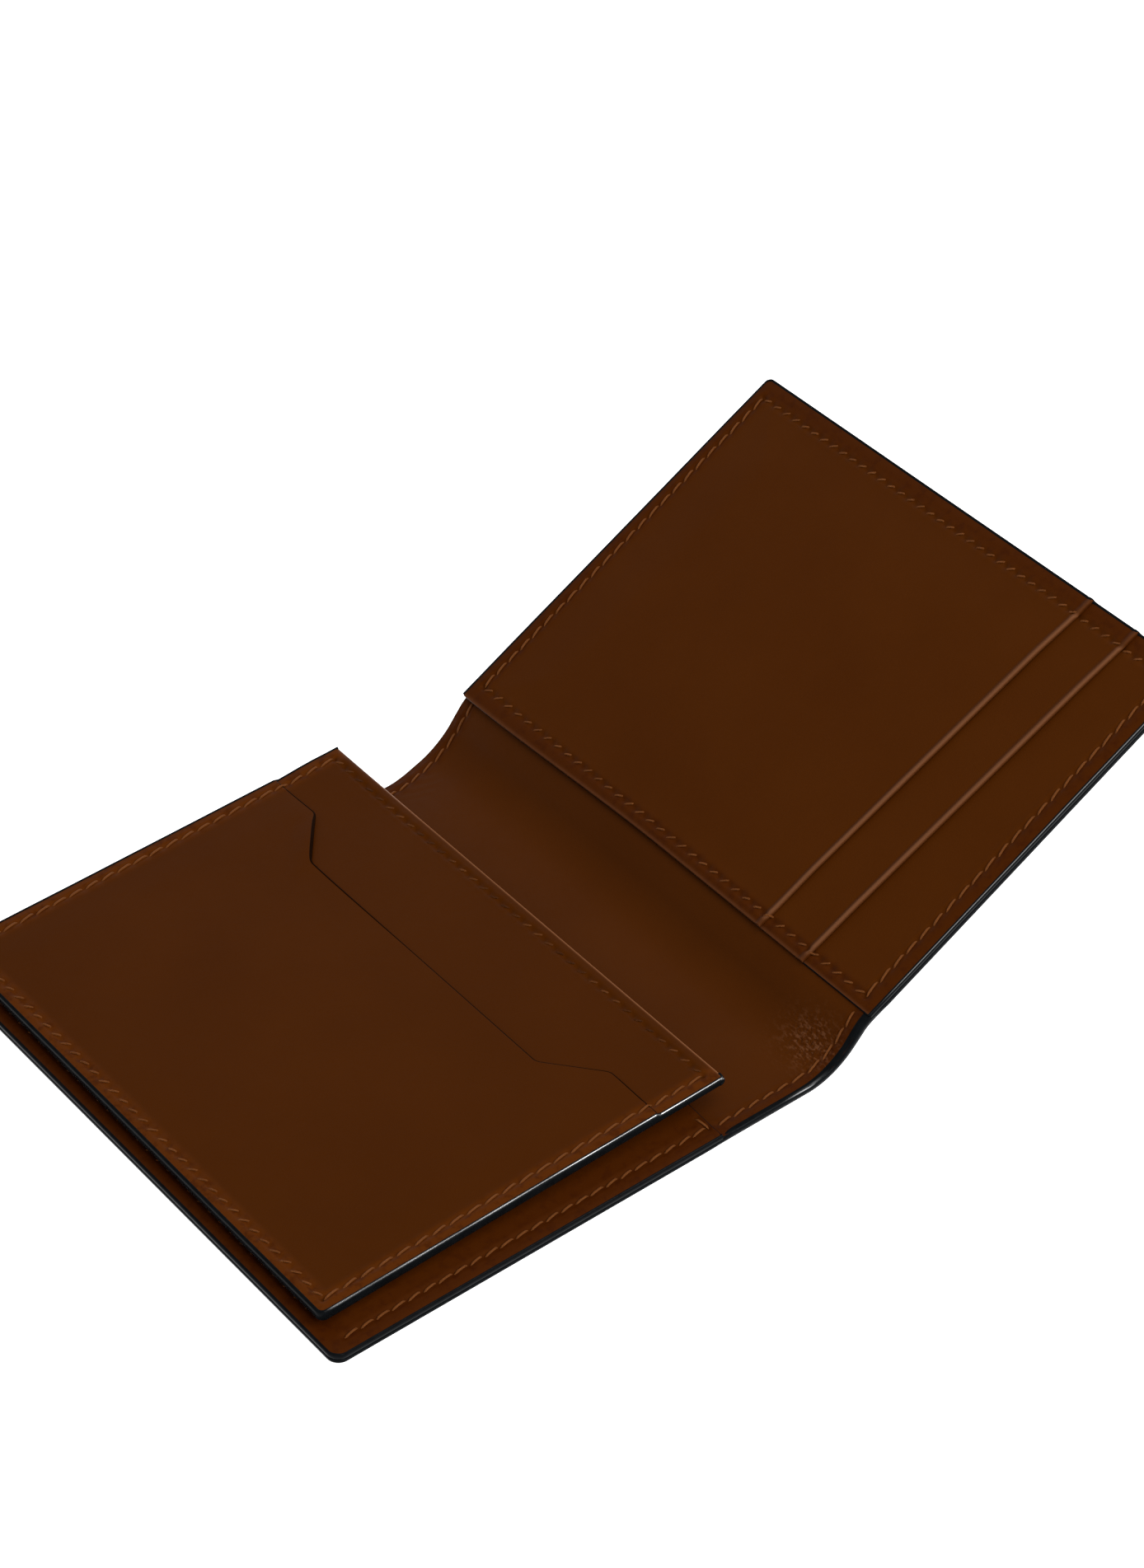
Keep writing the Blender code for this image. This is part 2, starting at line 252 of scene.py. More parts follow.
@dataclass(frozen=True)
class EdgePaintFinish:
    """Black edge paint, built up in coats and polished, with a few faint ripples."""

    name: str = "edge_paint"
    colour: Colour = (0.0034, 0.0041, 0.0047)
    deep: Colour = (0.0022, 0.0026, 0.0030)
    roughness: float = 0.16
    specular: float = 0.015

    def build(self) -> Material:
        """Return the material."""
        nodes = Nodes(self.name)
        place = nodes.place()
        shade = nodes.spread(nodes.noise(place, 500.0), 0.35, 0.7)
        nodes.drive("Base Color", nodes.mix(shade, self.colour, self.deep))
        dull = nodes.noise(place, 300.0, 4.0)
        low, high = self.roughness - 0.04, self.roughness + 0.08
        nodes.drive("Roughness", nodes.spread(dull, 0.3, 0.7, low, high))
        nodes.fix(Specular_IOR_Level=self.specular, Coat_IOR=2.8, Coat_Roughness=0.18)
        nodes.drive("Coat Weight", nodes.attribute("gloss"))
        nodes.drive("Normal", nodes.bump(nodes.noise(place, 420.0, 2.0), 0.00008, 0.4))
        return nodes.material


@dataclass(frozen=True)
class ThreadFinish:
    """Waxed thread of twisted plies."""

    name: str = "seam_thread"
    colour: Colour = (0.175, 0.056, 0.0130)
    # colour of the painted shade in the grooves between plies
    groove: Colour = (0.060, 0.018, 0.005)
    # colour of the painted shade on the darker rows
    painted_shade: Colour = (0.040, 0.0095, 0.0010)
    plies: float = 9.0

    def build(self) -> Material:
        """Return the material."""
        nodes = Nodes(self.name)
        uv = nodes.add("ShaderNodeUVMap", uv_map="ply")
        mapping = nodes.add("ShaderNodeMapping")
        mapping.inputs["Rotation"].default_value = (0.0, 0.0, math.radians(32.0))
        nodes.link(uv.outputs["UV"], mapping.inputs["Vector"])
        wave = nodes.add("ShaderNodeTexWave", wave_type="BANDS", bands_direction="X",
                         Scale=self.plies / 6.3, Distortion=0.4)
        nodes.link(mapping.outputs["Vector"], wave.inputs["Vector"])
        twist = wave.outputs["Fac"]
        # Painted shade: the colour darkens in the grooves between the plies.
        colour = nodes.mix(nodes.spread(twist, 0.15, 0.75), self.groove, self.colour)
        # Painted shade: the dull attribute darkens the thread's colour on some rows.
        nodes.drive("Base Color", nodes.mix(nodes.attribute("dull"), colour, self.painted_shade))
        nodes.fix(Roughness=0.38, Specular_IOR_Level=0.12, Specular_Tint=(1.0, 0.62, 0.36))
        nodes.drive("Normal", nodes.bump(twist, 0.00006, 0.7))
        return nodes.material


@dataclass(frozen=True)
class ClothFinish:
    """Thin plain weave that lines the pockets."""

    name: str = "pocket_cloth_weave"
    colour: Colour = (0.045, 0.018, 0.009)
    gap: Colour = (0.012, 0.005, 0.003)
    thread: float = 0.00022

    def build(self) -> Material:
        """Return the material."""
        nodes = Nodes(self.name)
        place = nodes.place()
        yarns = []
        for axis in ("X", "Y"):
            wave = nodes.add("ShaderNodeTexWave", bands_direction=axis,
                             Scale=1.0 / (self.thread * 6.3), Distortion=0.3)
            nodes.link(place, wave.inputs["Vector"])
            yarns.append(wave.outputs["Fac"])
        weave = nodes.product(*yarns)
        nodes.drive("Base Color", nodes.mix(nodes.spread(weave, 0.0, 0.4), self.gap, self.colour))
        nodes.fix(Roughness=0.75, Specular_IOR_Level=0.15)
        nodes.drive("Normal", nodes.bump(weave, 0.00005, 0.6))
        return nodes.material


@dataclass(frozen=True)
class TableFinish:
    """Plain pale floor with a trace of unevenness, lit a little from below as a light table is."""

    name: str = "pale_floor"
    colour: Colour = (0.93, 0.93, 0.93)
    glow: float = 0.7

    def build(self) -> Material:
        """Return the material."""
        nodes = Nodes(self.name)
        place = nodes.place()
        shade = tuple(c * 0.99 for c in self.colour)
        nodes.drive("Base Color", nodes.mix(nodes.noise(place, 3.0), self.colour, shade))
        nodes.fix(Emission_Color=(1.0, 1.0, 1.0), Emission_Strength=self.glow)
        nodes.fix(Roughness=0.8, Specular_IOR_Level=0.0)
        return nodes.material


BROWN_LEATHER = LeatherFinish(
    "brown_calf_leather",
    colour=(0.0435, 0.0102, 0.0007),
    deep=(0.0390, 0.0088, 0.0005),
    margin=(0.0350, 0.0070, 0.0004),
    painted_highlight=(0.1350, 0.0550, 0.0250),
)
HOLDER_LEATHER = LeatherFinish(
    "holder_calf_leather",
    colour=(0.0410, 0.0094, 0.0004),
    deep=(0.0370, 0.0083, 0.0003),
    margin=(0.0640, 0.0148, 0.0014),
    painted_highlight=(0.1900, 0.0780, 0.0340),
    specular=0.055,
)
# Near-black leather for the line along the thumb cut: the cut edge's own dark colour, and painted shadow for
# the gap beside it.
CUT_EDGE_AND_SHADOW = LeatherFinish(
    "cut_edge_and_painted_shadow",
    colour=(0.0070, 0.0020, 0.0004),
    deep=(0.0040, 0.0012, 0.0003),
    margin=(0.0070, 0.0020, 0.0004),
    painted_highlight=(0.0070, 0.0020, 0.0004),
    specular=0.02,
)
OUTSIDE_LEATHER = LeatherFinish(
    "black_calf_leather",
    colour=(0.0070, 0.0070, 0.0076),
    deep=(0.0048, 0.0048, 0.0052),
    margin=(0.0052, 0.0052, 0.0056),
    painted_highlight=(0.0150, 0.0150, 0.0160),
    stain=(0.0035, 0.0035, 0.0038),
    tint=(1.0, 1.0, 1.0),
    specular=0.14,
    roughness=0.42,
)


# --- Placings ---


@dataclass(frozen=True)
class Plane:
    """A flat panel's plane: its corner in the row frame and how far its across axis is lifted."""

    x: float
    y: float
    z: float
    turn: float = 0.0

    def to_row(self, points: Array) -> Array:
        """Return points of the plane in the row frame."""
        c, s = math.cos(self.turn), math.sin(self.turn)
        return np.column_stack(
            (
                self.x + points[:, 0] * c - points[:, 2] * s,
                self.y + points[:, 1],
                self.z + points[:, 0] * s + points[:, 2] * c,
            )
        )


@dataclass(frozen=True)
class Bend:
    """Leather that follows straight lengths and arcs across, by its outer or upper face.

    Each run is a length and how far the leather turns over it, in degrees; a positive turn lifts it.
    """

    plane: Plane
    runs: tuple[tuple[float, float], ...]
    start_angle: float = 0.0
    gather: Surface | None = None

    def line(self, across: Array) -> tuple[Array, Array, Array]:
        """Return x, z and direction of the line at each distance across, in the plane."""
        x, z, angle = (np.zeros(len(across)) for _ in range(3))
        at, x0, z0, a0 = 0.0, 0.0, 0.0, math.radians(self.start_angle)
        for number, (length, turn) in enumerate(self.runs):
            last = number == len(self.runs) - 1
            inside = (across >= at) if last else (across >= at) & (across < at + length)
            if number == 0:
                inside |= across < 0.0
            along = across[inside] - at
            bend = math.radians(turn) / length
            a = a0 + bend * along
            if abs(bend) < 1e-9:
                x[inside], z[inside] = x0 + along * math.cos(a0), z0 + along * math.sin(a0)
                x0, z0 = x0 + length * math.cos(a0), z0 + length * math.sin(a0)
            else:
                x[inside] = x0 + (np.sin(a) - math.sin(a0)) / bend
                z[inside] = z0 + (math.cos(a0) - np.cos(a)) / bend
                end = a0 + bend * length
                x0 = x0 + (math.sin(end) - math.sin(a0)) / bend
                z0 = z0 + (math.cos(a0) - math.cos(end)) / bend
            angle[inside] = a
            at, a0 = at + length, a0 + math.radians(turn)
        return x, z, angle

    def to_row(self, points: Array) -> Array:
        """Return points beside the line in the row frame."""
        x, z, angle = self.line(points[:, 0])
        along = points[:, 1].copy()
        if self.gather is not None:
            along -= self.gather(points[:, 0], points[:, 1])
        return self.plane.to_row(
            np.column_stack((x - np.sin(angle) * points[:, 2], along, z + np.cos(angle) * points[:, 2]))
        )

    def plane_at(self, across: float) -> Plane:
        """Return the plane that leaves the line at this distance across."""
        x, z, angle = self.line(np.array([across]))
        corner = self.plane.to_row(np.column_stack((x, [0.0], z)))[0]
        return Plane(corner[0], corner[1], corner[2], self.plane.turn + float(angle[0]))


Placing = Plane | Bend


# --- Seams and reliefs ---


class Side(Enum):
    """A side of a flat panel."""

    LOW = "low"
    HIGH = "high"
    NEAR = "near"
    FAR = "far"


@dataclass(frozen=True)
class SeamRow:
    """One straight row of stitches, from point to point in its panel's plane."""

    start: tuple[float, float]
    end: tuple[float, float]
    pitch: float = 3.6
    groove: float = 0.13
    hole: float = 0.24
    share: float = 0.93  # of the pitch that each stitch covers
    slant: float = 9.0
    dull: float = 0.0  # how far the thread has sunk, and how much painted shade darkens its colour

    @property
    def length(self) -> float:
        """Length of the row."""
        return math.dist(self.start, self.end)

    @property
    def count(self) -> int:
        """Number of stitches in the row."""
        return max(1, round(self.length / self.pitch))

    def measure(self, x: Array, y: Array) -> tuple[Array, Array]:
        """Return how many stitches along, and how far beside the row each point lies."""
        direction = np.subtract(self.end, self.start) / self.length
        dx, dy = x - self.start[0], y - self.start[1]
        ahead = dx * direction[0] + dy * direction[1]
        return ahead / self.length * self.count, dy * direction[0] - dx * direction[1]

    def relief(self, x: Array, y: Array) -> Array:
        """Return how far the seam pulls the leather in: a groove, holes and scallops between them."""
        steps, beside = self.measure(x, y)
        over = np.clip(np.maximum(-steps, steps - self.count), 0.0, None) * self.pitch
        held = hump(over, 0.0, 0.6)
        hole = (steps - np.round(steps)) * self.pitch
        sunk = self.groove * hump(beside, 0.0, 0.62)
        sunk += self.hole * hump(hole, 0.0, 0.62) * hump(beside, 0.0, 0.55)
        scallop = np.cos(math.pi * (steps - 0.5)) ** 2
        raised = 0.10 * scallop * hump(np.abs(beside), 0.95, 0.5)
        return held * (raised - sunk)


def smooth(value: Array, low: float, high: float) -> Array:
    """Return 0 below low, 1 above high and a smooth step between."""
    t = np.clip((value - low) / (high - low), 0.0, 1.0)
    return t * t * (3.0 - 2.0 * t)


def hump(value: Array, middle: Array | float, width: float) -> Array:
    """Return a smooth hump of height 1 about the middle."""
    return np.exp(-(((value - middle) / width) ** 2))


def bead(edge: Array) -> Array:
    """Return the leather raised between a seam and the edge, by the distance from the edge."""
    return 0.12 * hump(edge, 1.7, 0.95)


def unevenness(x: Array, y: Array, height: float, seed: float) -> Array:
    """Return a slow wave such as leather that has been worn and laid flat again keeps."""
    return height * (
        np.sin(x / 17.0 + seed) * np.cos(y / 23.0 + 1.7 * seed)
        + 0.5 * np.sin(x / 8.3 + y / 11.0 + 2.1 * seed)
        + 0.3 * np.cos(x / 5.1 - y / 7.3 + 0.6 * seed)
    )


def spaced(low: float, high: float, margin: float, fine: float, middle: float,
           extra: tuple[float, ...] = ()) -> Array:
    """Return the grid lines of a panel, closer together along its edges.

    Args:
        low: first line.
        high: last line.
        margin: width of the band of fine lines at each end.
        fine: distance between lines in that band.
        middle: distance between lines elsewhere.
        extra: middles of further bands of fine lines.
    """
    lines, at = [low], low
    while at < high - 1e-9:
        near = min(at - low, high - at) < margin or any(abs(at - e) < 2.2 for e in extra)
        at += fine if near else middle
        lines.append(at)
    found = np.array(lines)
    return low + (found - low) * (high - low) / (found[-1] - low)


# --- Meshes ---


def write_mesh(name: str, bm: BMesh, materials: tuple[Material, ...], sharp: float = 38.0) -> Piece:
    """Write a bmesh in metres as a new object at the origin.

    Args:
        name: the piece's name.
        bm: the mesh, which is freed.
        materials: its materials, in the order of their numbers.
        sharp: angle between faces, in degrees, above which an edge is sharp.

    Returns:
        The new object.
    """
    bmesh.ops.recalc_face_normals(bm, faces=bm.faces)
    limit = math.radians(sharp)
    for face in bm.faces:
        face.smooth = True
    for edge in bm.edges:
        edge.smooth = len(edge.link_faces) == 2 and edge.calc_face_angle(0.0) < limit
    mesh = bpy.data.meshes.new(name)
    bm.to_mesh(mesh)
    bm.free()
    for material in materials:
        mesh.materials.append(material)
    piece = bpy.data.objects.new(name, mesh)
    bpy.context.scene.collection.objects.link(piece)
    return piece


def rod(segments: int, cuts: int) -> BMesh:
    """Return a capped rod of radius 1 along Z from -1 to 1, with this many rings between its ends."""
    bm = bmesh.new()
    bmesh.ops.create_cone(
        bm, cap_ends=True, cap_tris=False, segments=segments, radius1=1.0, radius2=1.0, depth=2.0
    )
    long = [e for e in bm.edges if abs(e.verts[0].co.z - e.verts[1].co.z) > 1.0]
    bmesh.ops.subdivide_edges(bm, edges=long, cuts=cuts)
    return bm


def coordinates(piece: Piece) -> Array:
    """Return the piece's own points."""
    points = np.empty(len(piece.data.vertices) * 3)
    piece.data.vertices.foreach_get("co", points)
    return points.reshape(-1, 3)


def place_points(piece: Piece, points: Array) -> None:
    """Give the piece these points, in millimetres of the row frame."""
    piece.data.vertices.foreach_set("co", (points * MM).astype(np.float32).ravel())
    piece.data.update()


def add_attribute(piece: Piece, name: str, values: Array) -> None:
    """Store a number for each point of the piece."""
    layer = piece.data.attributes.new(name, "FLOAT", "POINT")
    layer.data.foreach_set("value", values.astype(np.float32))


@dataclass
class Panel:
    """A leather panel cut to a rounded rectangle, with its own thickness, edges, seams and relief."""

    name: str
    across: Array
    along: Array
    base: float
    thickness: float
    placing: Placing
    materials: tuple[Material, ...]
    corners: tuple[float, float, float, float] = (0.0, 0.0, 0.0,
                                                  0.0)  # near low, near high, far high, far low
    painted: frozenset[Side] = frozenset(Side)
    rounded: float = 0.22
    seams: tuple[SeamRow, ...] = ()
    lift: Surface | None = None  # moves the whole thickness
    relief: Surface | None = None  # moves the upper face
    warp: Callable[[float, float],
                   tuple[float, float]] | None = None  # moves a point of the cut, as for a slanted side
    margin: Surface | None = None
    # where a highlight is painted into the colour, as a share of 1
    painted_highlight: Surface | None = None
    creased: Surface | None = None
    flush: frozenset[Side] = frozenset()  # sides left square, where another length of the same leather goes on

    def grid(self) -> BMesh:
        """Return the cut panel as a flat grid."""
        bm = bmesh.new()
        bmesh.ops.create_grid(bm, x_segments=len(self.across) - 1, y_segments=len(self.along) - 1, size=1.0)
        columns, rows = len(self.across) - 1, len(self.along) - 1
        low, high = self.across[0], self.across[-1]
        for vert in bm.verts:
            x = float(self.across[round((vert.co.x + 1.0) / 2.0 * columns)])
            y = float(self.along[round((vert.co.y + 1.0) / 2.0 * rows)])
            x, y = self.cut(x, y, low, high)
            vert.co = (*(self.warp(x, y) if self.warp else (x, y)), 0.0)
        return bm

    def cut(self, x: float, y: float, low: float, high: float) -> tuple[float, float]:
        """Return a grid point moved to follow the rounded corners."""
        near, far = self.along[0], self.along[-1]
        for radius, cx, cy, sx, sy in (
            (self.corners[0], low, near, 1, 1),
            (self.corners[1], high, near, -1, 1),
            (self.corners[2], high, far, -1, -1),
            (self.corners[3], low, far, 1, -1),
        ):
            u, v = (cx + sx * radius - x) * sx, (cy + sy * radius - y) * sy
            if radius and u > 0.0 and v > 0.0:
                share = max(u, v) / math.hypot(u, v)
                return cx + sx * radius - sx * u * share, cy + sy * radius - sy * v * share
        return x, y

    def thicken(self, bm: BMesh) -> None:
        """Give the grid its thickness, as height 0 to 1, round its rims and paint them."""
        made = bmesh.ops.extrude_face_region(bm, geom=bm.faces[:])
        upper = [v for v in made["geom"] if isinstance(v, bmesh.types.BMVert)]
        bmesh.ops.translate(bm, verts=upper, vec=(0.0, 0.0, self.thickness))
        bmesh.ops.recalc_face_normals(bm, faces=bm.faces)
        rims = []
        for edge in bm.edges:
            if len(edge.link_faces) == 2:
                first, second = edge.link_faces
                if abs(abs(first.normal.z) - abs(second.normal.z)) > 0.5:
                    wall = first if abs(first.normal.z) < 0.5 else second
                    if self.side_of(wall.normal) not in self.flush:
                        rims.append(edge)
        width = min(self.rounded, 0.46 * self.thickness)
        bmesh.ops.bevel(
            bm, geom=rims, offset=width, offset_type="OFFSET", segments=3, profile=0.5, affect="EDGES",
            material=-1, clamp_overlap=True
        )
        if len(self.materials) > 1:
            for face in bm.faces:
                if abs(face.normal.z) < 0.97 and self.side_of(face.normal) in self.painted:
                    face.material_index = 1

    @staticmethod
    def side_of(normal: Vector) -> Side:
        """Return the side that this normal faces."""
        if abs(normal.x) > abs(normal.y):
            return Side.HIGH if normal.x > 0.0 else Side.LOW
        return Side.FAR if normal.y > 0.0 else Side.NEAR

    def build(self) -> Piece:
        """Return the finished panel."""
        bm = self.grid()
        self.thicken(bm)
        piece = write_mesh(self.name, bm, self.materials)
        points = coordinates(piece)
        x, y = points[:, 0], points[:, 1]
        share = np.clip(points[:, 2] / self.thickness, 0.0, 1.0)
        points[:, 2] += self.base
        if self.lift is not None:
            points[:, 2] += self.lift(x, y)
        raised = np.zeros(len(points)) if self.relief is None else self.relief(x, y)
        for seam in self.seams:
            raised = raised + seam.relief(x, y)
        points[:, 2] += raised * share**2
        add_attribute(piece, "margin", np.zeros(len(x)) if self.margin is None else self.margin(x, y) * share)
        # Share of painted highlight at each point, for the finish.
        add_attribute(piece, "painted_highlight", np.zeros(len(x)) if self.painted_highlight is None else self.painted_highlight(x, y) * share)
        if self.creased is not None:
            add_attribute(piece, "creased", self.creased(x, y) * share)
        place_points(piece, self.placing.to_row(points))
        return piece


@dataclass
class Stitches:
    """The threads of some seam rows, one short arched length for each stitch."""

    name: str
    rows: tuple[SeamRow, ...]
    surface: Surface
    placing: Placing
    material: Material
    radius: float = 0.27

    def one(self) -> BMesh:
        """Return one stitch along X, from -1 to 1, with its plies' own map."""
        bm = rod(6, 5)
        ply = bm.loops.layers.uv.new("ply")
        for face in bm.faces:
            middle = face.calc_center_median()
            for loop in face.loops:
                turn = math.atan2(loop.vert.co.y, loop.vert.co.x)
                mean = math.atan2(middle.y, middle.x)
                turn = mean + math.remainder(turn - mean, math.tau)
                loop[ply].uv = (loop.vert.co.z * 3.0, turn)
        bmesh.ops.rotate(bm, verts=bm.verts, cent=(0.0, 0.0, 0.0),
                         matrix=Matrix.Rotation(math.pi / 2, 3, "Y"))
        return bm

    def build(self) -> Piece:
        """Return all the stitches as one piece."""
        stitch = self.one()
        template = bpy.data.meshes.new("stitch")
        stitch.to_mesh(template)
        stitch.free()
        shape = np.empty(len(template.vertices) * 3)
        template.vertices.foreach_get("co", shape)
        shape = shape.reshape(-1, 3)
        bm = bmesh.new()
        placed, dull = [], []
        for row in self.rows:
            direction = np.subtract(row.end, row.start) / row.length
            beside = np.array((-direction[1], direction[0]))
            for number in range(row.count):
                bm.from_mesh(template)
                middle = np.add(row.start, direction * row.length * (number + 0.5) / row.count)
                wobble = 1.0 + 0.05 * math.sin(12.9 * number + 3.1 * middle[0])
                t = shape[:, 0]
                half = row.share * row.length / row.count / 2 * wobble
                lean = math.radians(row.slant * (1.0 + 0.25 * math.sin(7.7 * number)))
                thick = self.radius * (1.0 - 0.45 * np.abs(t) ** 5)
                run = half * t
                off = run * math.tan(lean) + shape[:, 1] * thick
                x = middle[0] + direction[0] * run + beside[0] * off
                y = middle[1] + direction[1] * run + beside[1] * off
                flat_x = middle[0] + direction[0] * run
                flat_y = middle[1] + direction[1] * run
                rise = 0.15 - 0.12 * row.dull - 0.40 * np.abs(t) ** 4
                z = self.surface(flat_x, flat_y) - row.groove + rise + shape[:, 2] * thick * 0.85
                placed.append(np.column_stack((x, y, z)))
                dull.append(np.full(len(z), row.dull * (1.0 + 0.5 * math.sin(5.3 * number))))
        bpy.data.meshes.remove(template)
        piece = write_mesh(self.name, bm, (self.material,), sharp=70.0)
        # Share of painted shade on each stitch's colour.
        add_attribute(piece, "dull", np.clip(np.concatenate(dull), 0.0, 1.0))
        place_points(piece, self.placing.to_row(np.concatenate(placed)))
        return piece


@dataclass
class EdgeBand:
    """Built-up edge paint: a rounded bead that closes the edges of the layers sewn together."""

    name: str
    path: Array  # points and outward directions, four numbers each
    top: Surface
    bottom: Surface
    placing: Placing
    material: Material
    outside: float = 0.2
    inside: float | Array = 0.5
    rounding: float = 1.0  # the largest radius of its upper and lower rims
    gloss: Surface | None = None  # where the upper rim is polished

    def build(self) -> Piece:
        """Return the bead."""
        rings = len(self.path)
        bm = rod(16, rings - 2)
        piece = write_mesh(self.name, bm, (self.material,), sharp=60.0)
        shape = coordinates(piece)
        ring = np.round((shape[:, 2] + 1.0) / 2.0 * (rings - 1)).astype(int)
        at = self.path[ring]
        angle = np.arctan2(shape[:, 1], shape[:, 0])
        out, up = np.cos(angle), np.sin(angle)
        top, bottom = self.top(at[:, 0], at[:, 1]), self.bottom(at[:, 0], at[:, 1])
        inside = np.broadcast_to(self.inside, rings)[ring]
        half = (self.outside + inside) / 2
        round_over = np.minimum(np.minimum(half, self.rounding), (top - bottom) / 2)
        chamfer = np.where((up > 0.0) & (out > 0.0), 1.45, 0.8)  # the upper rim is burnished almost flat
        offset = (self.outside - inside) / 2 + np.sign(out) * np.abs(out) ** chamfer * half
        raised = np.sign(up) * np.abs(up) ** np.where(up > 0.0, chamfer, 1.0) * round_over
        height = np.where(up > -0.01, top - round_over, bottom + round_over) + raised
        points = np.column_stack((at[:, 0] + at[:, 2] * offset, at[:, 1] + at[:, 3] * offset, height))
        if self.gloss is not None:
            rim = hump(angle, math.radians(50.0), math.radians(17.0))
            add_attribute(piece, "gloss", rim * self.gloss(at[:, 0], at[:, 1]))
        place_points(piece, self.placing.to_row(points))
        return piece


def edge_path(corners: list[tuple[float, float, float]], step: float = 0.9) -> Array:
    """Return points along straight edges joined by rounded corners, with the direction out of the panel.

    Args:
        corners: (across, along, radius) of each corner; the panel lies to the left of the way along them.
        step: distance between points.
    """
    found: list[tuple[float, float, float, float]] = []

    def straight(a: Array, b: Array) -> None:
        """Add the points from a to b."""
        length = float(np.linalg.norm(b - a))
        if length < 1e-6:
            return
        d = (b - a) / length
        for share in np.linspace(0.0, 1.0, max(2, int(length / step) + 1)):
            p = a + (b - a) * share
            found.append((p[0], p[1], d[1], -d[0]))

    points = [np.array(c[:2], float) for c in corners]
    at = points[0]
    for number in range(1, len(points) - 1):
        radius = corners[number][2]
        before = (points[number] - points[number - 1]) / np.linalg.norm(points[number] - points[number - 1])
        after = (points[number + 1] - points[number]) / np.linalg.norm(points[number + 1] - points[number])
        straight(at, points[number] - before * radius)
        centre = points[number] - before * radius + after * radius
        start = np.array((before[1], -before[0]))
        for share in np.linspace(0.0, 1.0, 9)[1:-1]:
            turn = math.pi / 2 * share
            direction = start * math.cos(turn) + before * math.sin(turn)  # the way turns left at every corner
            p = centre + direction * radius
            found.append((p[0], p[1], direction[0], direction[1]))
        at = points[number] + after * radius
    straight(at, points[-1])
    return np.array(found)


def side_path(across: Array, along: Array) -> Array:
    """Return the points of one curved side, with the direction out of the panel towards higher across."""
    dx, dy = np.gradient(across), np.gradient(along)
    length = np.hypot(dx, dy)
    return np.column_stack((across, along, dy / length, -dx / length))


# --- The wallet ---


@dataclass
class Palette:
    """The finishes, made once."""

    brown: Material = field(default_factory=BROWN_LEATHER.build)
    holder: Material = field(default_factory=HOLDER_LEATHER.build)
    outside: Material = field(default_factory=OUTSIDE_LEATHER.build)
    paint: Material = field(default_factory=EdgePaintFinish().build)
    edge_and_shadow: Material = field(default_factory=CUT_EDGE_AND_SHADOW.build)
    thread: Material = field(default_factory=ThreadFinish().build)
    cloth: Material = field(default_factory=ClothFinish().build)


def report(piece: Piece) -> Piece:
    """Log a finished piece and return it."""
    log.info("%s: %d faces", piece.name, len(piece.data.polygons))
    return piece


def fit(piece: Piece, body: str, slot: str = "", *nodes: str) -> Piece:
    """Put a finished piece on its body.

    Args:
        piece: the finished piece.
        body: the body it rides on.
        slot: not used.
        nodes: the CAD nodes it stands for.

    Returns:
        The piece.
    """
    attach(report(piece), body)
    if nodes:
        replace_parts(piece, *nodes)
    return piece


